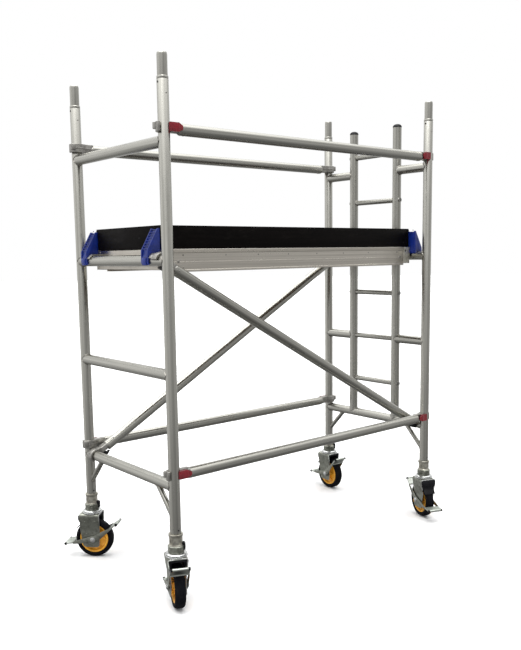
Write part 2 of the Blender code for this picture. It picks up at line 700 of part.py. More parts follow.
def add_toe_boards():
    low_z = DECK_TOP + GAP
    for name_y, side_y in SIDE_Y.items():
        ys = sorted(side_y * y for y in SIDE_BOARD_Y)
        shifted(f"toe_board_{name_y}", box("toe_board", (-SIDE_BOARD_END, ys[0], low_z),
                                           (SIDE_BOARD_END, ys[1], BOARD_TOP)), "phenolic_ply")
    half = SIDE_BOARD_Y[1]
    for name_x, side_x in SIDE_X.items():
        xs = sorted(side_x * x for x in END_BOARD_X)
        shifted(f"toe_board_{name_x}", box("toe_board", (xs[0], -half, low_z), (xs[1], half, BOARD_TOP)),
                "phenolic_ply")


def clip_outline():
    """Buttress behind an end toe board on a clamp over the ledger: x, then z."""
    z = LEDGER_Z["platform"]
    inner = seat((0, 0, 0), (0, 0, 1))[2]
    back = END_BOARD_X[1] + GAP
    step_out, step_height = CLIP_FOOT_STEP
    outline = arc(inner, *CLIP_GRIP, 10, (HALF_L, z))
    outline += arc(CLIP_R, CLIP_GRIP[1], CLIP_BULGE_END, 3, (HALF_L, z))
    outline += [(CLIP_FOOT_X + step_out, CLIP_FOOT_Z - step_height), (CLIP_FOOT_X, CLIP_FOOT_Z)]
    outline += [(CLIP_TOP_X, CLIP_TOP), (back, CLIP_TOP), (back, z + CLIP_BACK_RISE)]
    return outline


def add_clips():
    for name_x, side_x in SIDE_X.items():
        for name_y in SIDE_Y:
            y = CLIP_Y[f"{name_y}_{name_x}"]
            mesh = prism("clip", clip_outline(), y - CLIP_WIDTH / 2, y + CLIP_WIDTH / 2,
                         lambda x, z, w, s=side_x: (s * x, w, z))
            shifted(f"toe_board_clip_{name_y}_{name_x}", mesh, "blue_plastic")


# ---------------------------------------------------------------- castors
# In a castor's own frame +X points to the high tread and Y runs along the axle.

def stem_mesh():
    """Swivel head, socket and neck, with the plug that goes up the standard."""
    plug = (TUBE_R - TUBE_WALL) * math.cos(math.pi / TUBE_SIDES) - GAP
    neck_top = STANDARD_BOTTOM - GAP
    profile = [
        (0, FORK_TOP + GAP),
        (DISC_R - DISC_CHAMFER[0], FORK_TOP + GAP),
        (DISC_R, FORK_TOP + DISC_EDGE[0]),
        (DISC_R, DISC_TOP - DISC_EDGE[1]),
        (DISC_R - DISC_CHAMFER[1], DISC_TOP),
        (SOCKET_R, DISC_TOP),
        (SOCKET_R, SOCKET_TOP),
        (NECK_R, SOCKET_TOP),
        (NECK_R, neck_top - COLLAR_HEIGHT[1]),
        (NECK_R + COLLAR_PROUD, neck_top - COLLAR_HEIGHT[0]),
        (NECK_R + COLLAR_PROUD, neck_top),
        (plug, neck_top),
        (plug, PLUG_TOP - PLUG_CHAMFER[1]),
        (plug - PLUG_CHAMFER[0], PLUG_TOP),
        (0, PLUG_TOP),
    ]
    lug = box("lug", (LUG_X[0], -LUG_HALF_WIDTH, SOCKET_TOP + LUG_RISE[0]),
              (LUG_X[1], LUG_HALF_WIDTH, SOCKET_TOP + LUG_RISE[1]))
    return combine("stem", lathe("stem", profile, ROUND_SIDES), joined=[lug])


def fork_mesh():
    """Crown plate, two cheeks that draw in towards the axle, the axle bolt and the mudguard."""
    back, front = FORK_X
    crown = box("crown", (back, -FORK_HEAD_Y, FORK_TOP - CROWN_THICK), (front, FORK_HEAD_Y, FORK_TOP))
    head_z = FORK_TOP - OVERLAP
    cheek = [(back, head_z), (back, FORK_BEND_Z), *FORK_FEET, (front, FORK_BEND_Z), (front, head_z)]

    def lean(z):
        rise = max(0.0, (z - FORK_BEND_Z) / (FORK_TOP - FORK_BEND_Z))
        return FORK_FOOT_Y + (FORK_HEAD_Y - FORK_FOOT_Y) * rise

    cheeks = []
    for side in (-1, 1):
        bm = bmesh.new()
        rings = []
        for inset in (0.0, FORK_SHEET):
            rings.append([bm.verts.new((x, side * (lean(z) - inset), z)) for x, z in cheek])
        count = len(cheek)
        for index in range(count):
            other = (index + 1) % count
            bm.faces.new((rings[0][index], rings[0][other], rings[1][other], rings[1][index]))
        # Two flat parts of each face meet at the bend, between points 1 and 6 of the outline.
        for ring in rings:
            bm.faces.new(ring[1:7])
            bm.faces.new([ring[0], ring[1], ring[6], ring[7]])
        cheeks.append(mesh_of(bm, "cheek"))
    shank_end = PEDAL_OUT + OVERLAP
    bolt = [rod("shank", (TRAIL, -shank_end, WHEEL_R), (TRAIL, shank_end, WHEEL_R), AXLE_R, AXLE_SIDES)]
    for side in (-1, 1):
        ends = sorted((side * (PEDAL_OUT + GAP), side * NUT_END))
        bolt.append(rod("nut", (TRAIL, ends[0], WHEEL_R), (TRAIL, ends[1], WHEEL_R), NUT_R, NUT_SIDES))
    inner, outer = GUARD_R
    centre = (TRAIL, WHEEL_R)
    guard_top = FORK_TOP - CROWN_THICK / 2
    guard_back = back + OVERLAP
    guard = arc(inner, *GUARD_ARC, 4, centre) + [(GUARD_TOP_X, guard_top), (guard_back, guard_top)]
    guard += [(guard_back, GUARD_WAIST_Z)] + arc(outer, GUARD_WAIST_ANGLE, GUARD_ARC[0], 2, centre)
    guards = prism("guard", guard, -GUARD_HALF_WIDTH, GUARD_HALF_WIDTH, lambda x, z, y: (x, y, z))
    return combine("fork", crown, joined=[*cheeks, *bolt, guards])


def core_mesh():
    """Wheel core: rim, dished web and hub, bored for the axle."""
    hub_half = WHEEL_HALF_WIDTH + HUB_PROUD
    rim_half = WHEEL_HALF_WIDTH - RIM_INSET
    side = [(AXLE_R + CORE_BORE_GAP, hub_half), (HUB_R, hub_half), (WEB_R[0], WEB_HALF_WIDTH[0]),
            (WEB_R[1], WEB_HALF_WIDTH[1]), (RIM_R, rim_half), (CORE_R, rim_half)]
    profile = side + [(radius, -y) for radius, y in reversed(side)]
    return lathe("core", profile, WHEEL_SIDES, ring=True, axis="Y")


def tyre_mesh():
    half = WHEEL_HALF_WIDTH
    side = [(CORE_R + GAP, half - HUB_PROUD), (CORE_R + RIM_INSET, half)]
    side += [(WHEEL_R - depth, half - inset) for depth, inset in TYRE_SHOULDER]
    profile = side + [(radius, -y) for radius, y in reversed(side)]
    return lathe("tyre", profile, WHEEL_SIDES, ring=True, axis="Y")


def pedal_mesh(high_angle, low_angle):
    """Rocker with a lipped tread at each end, in a frame whose origin is on the axle."""
    high, low = math.radians(high_angle), math.radians(low_angle)

    def along(angle, distance, rise=0.0):
        return (distance * math.cos(angle) - rise * math.sin(angle),
                distance * math.sin(angle) + rise * math.cos(angle))

    # Outline round the rocker's side arm: high end, boss under the axle, low end, boss over it.
    arm = [along(high, distance, rise) for distance, rise in ARM_HIGH]
    arm += arc(BOSS_R[0], high_angle + BOSS_TURN[0], BOSS_LOW_ANGLE, 3)
    arm += [along(low, distance, rise) for distance, rise in ARM_LOW]
    arm += arc(BOSS_R[1], BOSS_HIGH_ANGLE, high_angle + BOSS_TURN[1], 3)
    arms = []
    for side in (-1, 1):
        ends = sorted((side * PEDAL_IN, side * PEDAL_OUT))
        arms.append(prism("arm", arm, ends[0], ends[1], lambda x, z, y: (x, y, z)))
    half = PEDAL_OUT - TREAD_INSET
    treads = []
    for angle, flip in ((high, 1), (low, -1)):
        outline = [along(angle, distance, flip * rise) for distance, rise in TREAD_SECTION]
        treads.append(prism("tread", outline, -half, half, lambda x, z, y: (x, y, z)))
    past = PEDAL_OUT + 0.01  # well outside the arms
    hole = rod("hole", (0, -past, 0), (0, past, 0), AXLE_R + PEDAL_BORE_GAP, AXLE_SIDES)
    return combine("pedal", treads[0], joined=[treads[1], *arms], removed=[hole])


def add_castors():
    stem, fork, core, tyre = stem_mesh(), fork_mesh(), core_mesh(), tyre_mesh()
    for corner_name, heading in CASTOR_HEADINGS.items():
        name_y, name_x = corner_name.split("_")
        spot = corner(SIDE_X[name_x], SIDE_Y[name_y]) + Vector((SHIFT_X, SHIFT_Y, 0))
        prefix = f"castor_{corner_name}"
        swivel = empty(f"{prefix}_swivel_axis", spot, math.radians(heading))
        axle = empty(f"{prefix}_axle_axis", (TRAIL, 0, WHEEL_R), parent=swivel)
        place(f"{prefix}_stem", stem, "zinc_steel", spot, math.radians(LUG_HEADINGS[corner_name]))
        place(f"{prefix}_fork", fork, "zinc_steel", parent=swivel)
        place(f"{prefix}_wheel_core", core, "orange_core", parent=axle)
        place(f"{prefix}_tyre", tyre, "black_rubber", parent=axle)
        pedal = pedal_mesh(*TREAD_ANGLES[corner_name])
        place(f"{prefix}_brake_pedal", pedal, "zinc_steel", parent=axle)


def main():
    clear_scene()
    add_standards()
    add_left_ledgers()
    add_ladder()
    add_stile_caps()
    add_braces()
    add_platform()
    add_toe_boards()
    add_clips()
    add_castors()


main()
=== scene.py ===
"""Looks of the mobile tower scaffold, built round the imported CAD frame. Metres, +Z up."""

import math

import bmesh
import bpy
from mathutils import Matrix, Vector


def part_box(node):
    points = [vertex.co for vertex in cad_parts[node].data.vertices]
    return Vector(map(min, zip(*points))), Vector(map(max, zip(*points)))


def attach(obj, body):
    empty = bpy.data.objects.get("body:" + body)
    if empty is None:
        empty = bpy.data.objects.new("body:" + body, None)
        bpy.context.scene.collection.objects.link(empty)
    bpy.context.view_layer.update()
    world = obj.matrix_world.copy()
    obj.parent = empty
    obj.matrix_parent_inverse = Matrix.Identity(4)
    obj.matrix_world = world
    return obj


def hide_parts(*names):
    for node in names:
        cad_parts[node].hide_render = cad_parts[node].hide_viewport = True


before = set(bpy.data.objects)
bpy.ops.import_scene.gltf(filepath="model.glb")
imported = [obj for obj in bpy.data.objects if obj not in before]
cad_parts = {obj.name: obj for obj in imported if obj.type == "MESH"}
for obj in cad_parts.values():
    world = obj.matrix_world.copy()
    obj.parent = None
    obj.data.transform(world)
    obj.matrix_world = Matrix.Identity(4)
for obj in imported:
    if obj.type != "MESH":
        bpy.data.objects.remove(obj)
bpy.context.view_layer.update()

# ---------------------------------------------------------------- sizes

TUBE_WALL = 0.002
HUG = 0.0005  # between a claw, hook or clip and the tube inside it
SEAT_GAP = 0.0004  # between a shaped tube end and the tube that it sits on
MERGE = 1e-6  # points closer than this are one point
FINE_SIDES = 44
MID_SIDES = 28
SMALL_SIDES = 20
SPIGOT_LENGTH = 0.096
SPIGOT_R = 0.0225
SPIGOT_BORE = 0.016
SPIGOT_DEPTH = 0.119  # how far the spigot reaches down inside the tube
PIN_DROP = 0.025  # from the tube's top to its locking-pin holes
FOOT_PIN_RISE = 0.018
SPIGOT_RIVET_DROP = 0.070
RUNG_R = 0.015
RUNG_PITCH = 0.276
RUNG_COUNT = 6
FIRST_RUNG_Z = 0.782
CAP_DEPTH = 0.022  # how far a cap's plug reaches into its stile
SMALL_WELD = (0.0022, 20)  # bead size and ripples
RUNG_WELD = (0.0022, 24)
EASE = 0.0004  # how far a tube end's edge is drawn in
KNEE_R = 0.0127
KNEE_HEAD_Y = 0.245
KNEE_FOOT_RISE = -0.160  # from a bottom ledger's middle down to the knee's foot
CLAW_TO_TUBE = 0.080
CLAW_R = 0.036
CLAW_LIP = 0.012
CLAW_SPAN = (-0.020, 0.020)
CLAW_SPAN_LEVEL = (-0.016, 0.026)
TRIGGER_INSET = 0.002
TRIGGER_SHOULDER = 0.056
TRIGGER_TAIL = 0.078
TRIGGER_TAIL_SCALE = 0.40
TRIGGER_FACE = -0.0310
COLLAR_DEPTH = 0.010
HORN_SPAN = (-0.004, 0.024)
DECK_TOP = 1.608
SHELF_TOP = 1.591
BEAM_BOTTOM = 1.505
WEB_Y = 0.297
LIP_Y = 0.303
RIM_Y = 0.2645
SHELF_Y = 0.250
SHEET = 0.0025
BEAM_HALF_LENGTH = 0.802
END_OUTER_X = 0.858
END_BOTTOM = 1.515
END_WALL = 0.003
HOOK_WIDTH = 0.024
HOOK_SHEET = 0.0083
DECK_FILM = 0.0006
CLIP_RIBS = 8
HOOK_Y = {"front_left": -0.300, "back_left": 0.265, "front_right": -0.265, "back_right": 0.300}
END_BOARD_FACE = 0.858
CLIP_R = 0.034
CLIP_TOP = 1.700
CLIP_TOP_X = 0.870
CLIP_FOOT_X = 0.926
CLIP_FOOT_Z = 1.604
# Degrees from +X: where each castor's high tread and its socket's lug point.
CASTOR_HEADINGS = {"front_left": 245.0, "back_left": 313.7, "back_right": 265.4, "front_right": 67.0}
LUG_HEADINGS = {"front_left": 322.0, "back_left": 313.7, "back_right": 320.0, "front_right": 67.0}
TREAD_ANGLES = {"front_left": (50, 189), "back_left": (34, 189), "back_right": (49, 185),
                "front_right": (42, 189)}
TRAIL = 0.010
WHEEL_R = 0.100
FORK_TOP = 0.2387
FORK_X = (-0.058, 0.048)
FORK_HEAD_Y = 0.048
FORK_FOOT_Y = 0.0375
FORK_BEND_Z = 0.150
FORK_SHEET = 0.005
GUARD_R = (0.1035, 0.1060)
GUARD_HALF_WIDTH = 0.034
FORK_FOOT_Z = 0.072
FORK_FOOT_ROUND = 0.014
PLUG_R = 0.0221
NECK_TOP = 0.3425
WINDOW_Z = (0.2985, 0.3225)
SOCKET_RIBS = 6
WHEEL_RIBS = 6
WHEEL_HALF_WIDTH = 0.025
DISC_R = 0.0515
DISC_TOP = 0.2567
SOCKET_R = 0.037
SOCKET_TOP = 0.288
NECK_R = 0.030
PLUG_TOP = 0.460
AXLE_R = 0.007
PEDAL_IN = 0.0425
PEDAL_OUT = 0.0455

SIDE_X = {"left": -1, "right": 1}
SIDE_Y = {"front": -1, "back": 1}
CORNERS = [(y, x) for y in SIDE_Y for x in SIDE_X]


def box_of(node):
    """The low and high corners of a CAD node's box."""
    low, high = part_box(node)
    return Vector(low), Vector(high)


def middle_of(node):
    """The middle of a CAD node's box."""
    low, high = box_of(node)
    return (low + high) / 2


STANDARDS = {f"{y}_{x}": middle_of(f"standard_{y}_{x}") for y, x in CORNERS}
STANDARD_LOW, STANDARD_HIGH = box_of("standard_front_left")
TUBE_R = (STANDARD_HIGH.x - STANDARD_LOW.x) / 2
FOOT_Z, SPIGOT_TOP = STANDARD_LOW.z, STANDARD_HIGH.z
TUBE_TOP = SPIGOT_TOP - SPIGOT_LENGTH
CENTRE_X = (STANDARDS["front_left"].x + STANDARDS["front_right"].x) / 2
CENTRE_Y = (STANDARDS["front_left"].y + STANDARDS["back_left"].y) / 2
LEFT_X, RIGHT_X = STANDARDS["front_left"].x, STANDARDS["front_right"].x
HALF_L = (RIGHT_X - LEFT_X) / 2
HALF_W = (STANDARDS["back_left"].y - STANDARDS["front_left"].y) / 2
LEDGER_Z = {name: middle_of(f"left_ledger_{name}").z for name in ("middle", "platform", "top")}
LEDGER_Z["bottom"] = 2 * LEDGER_Z["middle"] - LEDGER_Z["platform"]
# Rivets on a side beam's web: x away from the middle, z, radius and height.
WEB_RIVETS = ((0.772, 1.552, 0.0075, 0.0028), (0.745, 1.580, 0.0042, 0.0028), (0.745, 1.524, 0.0042, 0.0028))
WEB_RIVETS += tuple((x, SHELF_TOP - 0.012, 0.0036, 0.0014) for x in (0.10, 0.30, 0.50))


# ---------------------------------------------------------------- mesh helpers

def finish_mesh(bm, name, sharp):
    """A mesh from bm, faces out, smooth except at edges sharper than the given angle."""
    bmesh.ops.recalc_face_normals(bm, faces=bm.faces)
    if bm.calc_volume(signed=True) < 0:
        bmesh.ops.reverse_faces(bm, faces=bm.faces)
    mesh = bpy.data.meshes.new(name)
    bm.to_mesh(mesh)
    bm.free()
    mesh.shade_smooth()
    mesh.set_sharp_from_angle(angle=math.radians(sharp))
    return mesh


def stamp(mesh, axes=None):
    """Stores each point in the piece's own frame, for materials that run along the piece."""
    back = (axes or Matrix.Identity(4)).inverted()
    layer = mesh.attributes.new("own", "FLOAT_VECTOR", "POINT")
    for index, vert in enumerate(mesh.vertices):
        layer.data[index].vector = back @ vert.co
    return mesh


def axes_along(start, along):
    """A frame at start with Z along the given direction."""
    turn = Vector((0, 0, 1)).rotation_difference(Vector(along).normalized())
    return Matrix.Translation(start) @ turn.to_matrix().to_4x4()


def moved(mesh, matrix):
    """A copy of the mesh moved by matrix. Its own frame goes with it."""
    copy = mesh.copy()
    copy.transform(matrix)
    return copy


def piece(name, parts, body, stands_for):
    """One object from (mesh, material) parts, riding on a body in place of its CAD nodes."""
    bm = bmesh.new()
    used = []
    for mesh, looks in parts:
        looks = looks if isinstance(looks, tuple) else (looks,)
        used += [look for look in looks if look not in used]
        first = len(bm.faces)
        bm.from_mesh(mesh)
        bm.faces.ensure_lookup_table()
        for face in bm.faces[first:]:
            face.material_index = used.index(looks[min(face.material_index, len(looks) - 1)])
    mesh = bpy.data.meshes.new(name)
    bm.to_mesh(mesh)
    bm.free()
    for look in used:
        mesh.materials.append(look)
    obj = bpy.data.objects.new(name, mesh)
    bpy.context.scene.collection.objects.link(obj)
    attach(obj, body)
    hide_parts(*stands_for)


def arc(radius, first, last, steps, centre=(0.0, 0.0)):
    """Points along an arc, with angles in degrees."""
    points = []
    for step in range(steps + 1):
        angle = math.radians(first + (last - first) * step / steps)
        points.append((centre[0] + radius * math.cos(angle), centre[1] + radius * math.sin(angle)))
    return points


def near(corner, *steps):
    """Points of an outline at steps given in millimetres from a corner."""
    return [(corner[0] + u / 1000, corner[1] + v / 1000) for u, v in steps]


def mm(*points):
    """Outline points given in millimetres."""
    return near((0, 0), *points)


def upright(u, v, w):
    """A map that stands an outline up in X and Z, with w along Y."""
    return u, w, v


def skin(bm, loops, closed=False):
    """Faces between neighbouring loops of vertices. Closed joins the last loop to the first."""
    followers = loops[1:] + loops[:1] if closed else loops[1:]
    faces = []
    for this, following in zip(loops, followers):
        for index in range(len(this)):
            other = (index + 1) % len(this)
            faces.append(bm.faces.new((this[index], this[other], following[other], following[index])))
    return faces


def lathe(name, profile, sides, ring=False, axes=None, shape=None):
    """The profile (radius, height) turned about Z. shape(angle, radius, height) may change a radius."""
    bm = bmesh.new()
    count = len(profile)
    loops = []
    for side in range(sides):
        angle = math.tau * side / sides
        loop = []
        for radius, height in profile:
            size = shape(angle, radius, height) if shape else radius
            loop.append(bm.verts.new((size * math.cos(angle), size * math.sin(angle), height)))
        loops.append(loop)
    for this, following in zip(loops, loops[1:] + loops[:1]):
        for index in range(count if ring else count - 1):
            other = (index + 1) % count
            bm.faces.new((this[index], following[index], following[other], this[other]))
    bmesh.ops.remove_doubles(bm, verts=bm.verts, dist=MERGE)
    mesh = stamp(finish_mesh(bm, name, 40))
    if axes is not None:
        mesh.transform(axes)
    return mesh


def prism(name, outline, low, high, to_world, bevel, steps=2, cut_at=None):
    """The outline (u, v) extruded from w = low to high with rounded rims, split at u = cut_at."""
    bm = bmesh.new()
    base = bm.faces.new([bm.verts.new((u, v, low)) for u, v in outline])
    grown = bmesh.ops.extrude_face_region(bm, geom=[base])
    lifted = [item for item in grown["geom"] if isinstance(item, bmesh.types.BMVert)]
    bmesh.ops.translate(bm, verts=lifted, vec=(0, 0, high - low))
    rims = [edge for edge in bm.edges if edge.verts[0].co.z == edge.verts[1].co.z]
    bmesh.ops.bevel(bm, geom=rims, offset=bevel, segments=steps, profile=0.5, affect="EDGES")
    if cut_at is not None:
        everything = [*bm.verts, *bm.edges, *bm.faces]
        bmesh.ops.bisect_plane(bm, geom=everything, dist=MERGE, plane_co=(cut_at, 0, 0), plane_no=(1, 0, 0))
    own = bm.verts.layers.float_vector.new("own")
    for vert in bm.verts:
        vert[own] = vert.co
        vert.co = Vector(to_world(*vert.co))
    bmesh.ops.remove_doubles(bm, verts=bm.verts, dist=MERGE)
    return finish_mesh(bm, name, 30)


def both_sides(name, outline, inner, outer, to_world, look, bevel, steps=2, middle=0.0):
    """The same prism on each side of the plane w = middle."""
    parts = []
    for side in (-1, 1):
        low, high = sorted((middle + side * inner, middle + side * outer))
        parts.append((prism(name, outline, low, high, to_world, bevel, steps), look))
    return parts


def block(name, low, high, bevel=0.0008, steps=2):
    """A box with every edge rounded."""
    bm = bmesh.new()
    bmesh.ops.create_cube(bm, size=1.0)
    low, high = Vector(low), Vector(high)
    for vert in bm.verts:
        vert.co = Vector(a * b for a, b in zip(vert.co, high - low)) + (low + high) / 2
    bmesh.ops.bevel(bm, geom=bm.edges, offset=bevel, segments=steps, profile=0.5, affect="EDGES")
    return stamp(finish_mesh(bm, name, 30))


def across(direction):
    """Two directions square to the given one and to each other."""
    helper = Vector((0, 0, 1)) if abs(direction.z) < 0.9 else Vector((1, 0, 0))
    first = direction.cross(helper).normalized()
    return first, direction.cross(first).normalized()


def reach(point, direction, crossing):
    """How far along direction a tube's wall starts, to sit on the member that it crosses."""
    if crossing is None:
        return 0.0
    centre, axis, radius = crossing
    offset = point - centre
    flat = offset - axis * offset.dot(axis)
    run = direction - axis * direction.dot(axis)
    a, b = run.dot(run), flat.dot(run)
    c = flat.dot(flat) - radius * radius
    return (-b + math.sqrt(max(0.0, b * b - a * c))) / a


def end_loop(bm, origin, heading, crossing, axes, sizes, ease):
    """Vertices round a tube's end, where the member that it sits on stops them."""
    first, second = axes
    loop = []
    for side, size in enumerate(sizes):
        angle = math.tau * side / len(sizes)
        point = origin + (first * math.cos(angle) + second * math.sin(angle)) * size
        loop.append(bm.verts.new(point + heading * (reach(point, heading, crossing) + ease)))
    return loop


def tube(name, start, end, radius, start_on=None, end_on=None, sides=FINE_SIDES):
    """A hollow tube whose ends are shaped to the members that they sit on."""
    start, end = Vector(start), Vector(end)
    along = (end - start).normalized()
    at_start, at_end = (start, along, start_on), (end, -along, end_on)
    eased, bore = radius - EASE, radius - TUBE_WALL
    bm = bmesh.new()
    loops = []
    for place, size in ((at_start, eased), (at_start, radius), (at_end, radius), (at_end, eased),
                        (at_end, bore), (at_start, bore)):
        loops.append(end_loop(bm, *place, across(along), [size] * sides, EASE if size == radius else 0.0))
    skin(bm, loops, closed=True)
    return stamp(finish_mesh(bm, name, 40), axes_along(start, along))


def rod(name, start, end, radius, sides):
    """A solid round bar with chamfered ends."""
    chamfer = 0.0006
    length = (end - start).length
    profile = [(0, 0), (radius - chamfer, 0), (radius, chamfer), (radius, length - chamfer),
               (radius - chamfer, length), (0, length)]
    return lathe(name, profile, sides, axes=axes_along(start, end - start))


def seat(centre, axis):
    """The frame tube that another tube's end sits on: a point on it, its axis and its radius."""
    return Vector(centre), Vector(axis), TUBE_R + SEAT_GAP


def at_height(point, z):
    """The point moved up or down to z."""
    return Vector((point[0], point[1], z))


def weld(start, heading, radius, crossing, size=0.0030, ripples=34):
    """A rippled weld bead round a tube of this radius where it meets a crossing member."""
    start, heading = Vector(start), Vector(heading).normalized()
    first, second = across(heading)
    steps, ring = ripples * 3, 8
    bm = bmesh.new()
    loops = []
    for step in range(steps):
        angle = math.tau * step / steps
        outward = first * math.cos(angle) + second * math.sin(angle)
        point = start + outward * radius
        centre = point + heading * (reach(point, heading, crossing) + 0.0006)
        ripple = 1 + 0.16 * math.sin(step * math.tau / 3) + 0.10 * math.sin(step * 0.37)
        loop = []
        for turn in range(ring):
            bend = math.tau * turn / ring
            offset = outward * math.cos(bend) + heading * math.sin(bend)
            loop.append(bm.verts.new(centre + offset * size * ripple))
        loops.append(loop)
    skin(bm, loops, closed=True)
    return stamp(finish_mesh(bm, "weld", 80))


def welds(start, end, radius, seats, size=0.0030, ripples=34):
    """The weld beads at both ends of a tube."""
    return [(weld(start, end - start, radius, seats[0], size, ripples), WELD),
            (weld(end, start - end, radius, seats[1], size, ripples), WELD)]


def rivet(at, outward, radius, height):
    """A domed rivet head facing outward."""
    profile = near((0, 0), (0, -1)) + near((radius, 0), (0, -1), (0, 0.2))
    for turn in map(math.radians, (25, 50, 72)):
        profile.append((radius * math.cos(turn), height * math.sin(turn)))
    profile += [(0, height)]
    return lathe("rivet", profile, 14, axes=axes_along(at, outward))


def rivets(points, outward, look, radius, height=0.0018):
    """Rivet heads at each point, facing outward."""
    return [(rivet(Vector(point), outward, radius, height), look) for point in points]


def hex_head(at, outward, radius, height):
    """A bolt head or nut: six flats with a turned chamfer round a raised bolt end."""
    def six(angle, size, _height):
        if size < radius * 0.5:
            return size
        return size * math.cos(math.pi / 6) / math.cos((angle % (math.pi / 3)) - math.pi / 6)

    shares = ((0, 0), (1, 0), (1, 0.82), (0.86, 1), (0.42, 1), (0.40, 1.25), (0.32, 1.4), (0, 1.4))
    profile = [(radius * across_share, height * up_share) for across_share, up_share in shares]
    return lathe("hex", profile, 24, axes=axes_along(at, outward), shape=six)


# ---------------------------------------------------------------- materials

class Look:
    """A material being built on its Principled shader, with short names for the nodes it uses."""

    def __init__(self, name, roughness, metallic=0.0, **fixed):
        self.material = bpy.data.materials.new(name)
        self.material.use_nodes = True
        self.tree = self.material.node_tree
        self.shader = self.tree.nodes["Principled BSDF"]
        for socket, value in {"Roughness": roughness, "Metallic": metallic, **fixed}.items():
            self.shader.inputs[socket.replace("_", " ")].default_value = value

    def node(self, kind, **inputs):
        """A new node. A link goes into a socket as a link, and anything else as a constant."""
        node = self.tree.nodes.new(kind)
        for socket, value in inputs.items():
            self.put(node.inputs[socket.replace("_", " ")], value)
        return node

    def put(self, socket, value):
        if isinstance(value, bpy.types.NodeSocket):
            self.tree.links.new(value, socket)
        elif isinstance(value, tuple) and socket.type == "RGBA":
            socket.default_value = (*value, 1)
        else:
            socket.default_value = value

    def place(self, stretch, own=True):
        """Coordinates in the piece's own frame or the object's, stretched per axis or equally."""
        if own:
            source = self.node("ShaderNodeAttribute")
            source.attribute_name = "own"
            out = source.outputs["Vector"]
        else:
            out = self.node("ShaderNodeTexCoord").outputs["Object"]
        stretch = stretch if isinstance(stretch, tuple) else (stretch, stretch, stretch)
        return self.node("ShaderNodeMapping", Scale=stretch, Vector=out).outputs["Vector"]

    def noise(self, stretch, detail, roughness, own=True):
        where = self.place(stretch, own)
        node = self.node("ShaderNodeTexNoise", Scale=1.0, Detail=detail, Roughness=roughness, Vector=where)
        return node.outputs["Fac"]

    def wave(self, direction, scale, distortion, where):
        node = self.node("ShaderNodeTexWave", Scale=scale, Distortion=distortion, Vector=where)
        node.bands_direction = direction
        return node.outputs["Fac"]

    def mix(self, first, second, amount, kind="MIX"):
        node = self.node("ShaderNodeMix")
        node.data_type = "RGBA"
        node.blend_type = kind
        for socket, value in ((6, first), (7, second), (0, amount)):
            self.put(node.inputs[socket], value)
        return node.outputs[2]

    def ramp(self, value, *stops):
        """A grey ramp of (position, level) stops."""
        return ramp(self.tree, value, stops)

    def finish(self, colour, height, strength, depth, roughness=None):
        """Links the colour, the bump from height and, where given, the roughness."""
        self.put(self.shader.inputs["Base Color"], colour)
        if roughness is not None:
            self.put(self.shader.inputs["Roughness"], roughness)
        bump = self.node("ShaderNodeBump", Strength=strength, Distance=depth, Height=height)
        self.put(self.shader.inputs["Normal"], bump.outputs["Normal"])
        return self.material


def ramp(tree, value, stops):
    """A ramp of (position, grey level) stops."""
    node = tree.nodes.new("ShaderNodeValToRGB")
    elements = node.color_ramp.elements
    while len(elements) < len(stops):
        elements.new(0.5)
    for element, (position, level) in zip(elements, stops):
        element.position = position
        element.color = (level, level, level, 1)
    tree.links.new(value, node.inputs["Fac"])
    return node.outputs["Color"]


def tube_look(name, light, dark, roughness):
    """Drawn aluminium: fine lines along the tube, cloudy oxide, a few stains and rubs."""
    look = Look(name, roughness, 1.0)
    lines = look.noise((260, 260, 1.6), 3.0, 0.6)
    bands = look.noise((90, 90, 0.5), 2.0, 0.5)
    cloud = look.noise((14, 14, 5), 5.0, 0.6)
    stain = look.noise((45, 45, 22), 4.0, 0.65)
    colour = look.mix(dark, light, look.ramp(bands, (0.34, 0.0), (0.66, 1.0)))
    colour = look.mix(colour, look.ramp(lines, (0.3, 0.72), (0.7, 1.0)), 0.55, "MULTIPLY")
    colour = look.mix(colour, STAIN, look.ramp(stain, (0.60, 0.0), (0.78, 0.45)))
    return look.finish(colour, lines, 0.25, 0.0002,
                       look.ramp(cloud, (0.3, roughness - 0.09), (0.7, roughness + 0.12)))


def cast_look(name, colour, dark, roughness, grain=900, strength=0.35):
    """Cast or plated metal: sandy skin, darker in its blotches."""
    look = Look(name, roughness, 1.0)
    sand = look.noise(grain, 3.0, 0.6)
    cloud = look.noise(40, 5.0, 0.62)
    shade = look.mix(dark, colour, look.ramp(cloud, (0.36, 0.0), (0.60, 1.0)))
    shade = look.mix(shade, look.ramp(sand, (0.35, 0.78), (0.65, 1.0)), 0.5, "MULTIPLY")
    return look.finish(shade, sand, strength, 0.0003,
                       look.ramp(cloud, (0.3, roughness + 0.12), (0.7, roughness - 0.06)))


def plastic_look(name, colour, scuff, roughness, grain=700, shine=0.4):
    """Moulded plastic: fine spark texture, slight shade changes and pale scuffs."""
    look = Look(name, roughness, Specular_IOR_Level=shine)
    fine = look.noise(grain, 2.0, 0.5)
    cloud = look.noise(30, 4.0, 0.6)
    marks = look.noise((60, 240, 60), 5.0, 0.7)
    shade = look.mix(tuple(c * 0.72 for c in colour), colour, look.ramp(cloud, (0.35, 0.0), (0.62, 1.0)))
    shade = look.mix(shade, scuff, look.ramp(marks, (0.64, 0.0), (0.80, 0.35)))
    return look.finish(shade, fine, 0.18, 0.0002,
                       look.ramp(marks, (0.3, roughness - 0.05), (0.75, roughness + 0.15)))


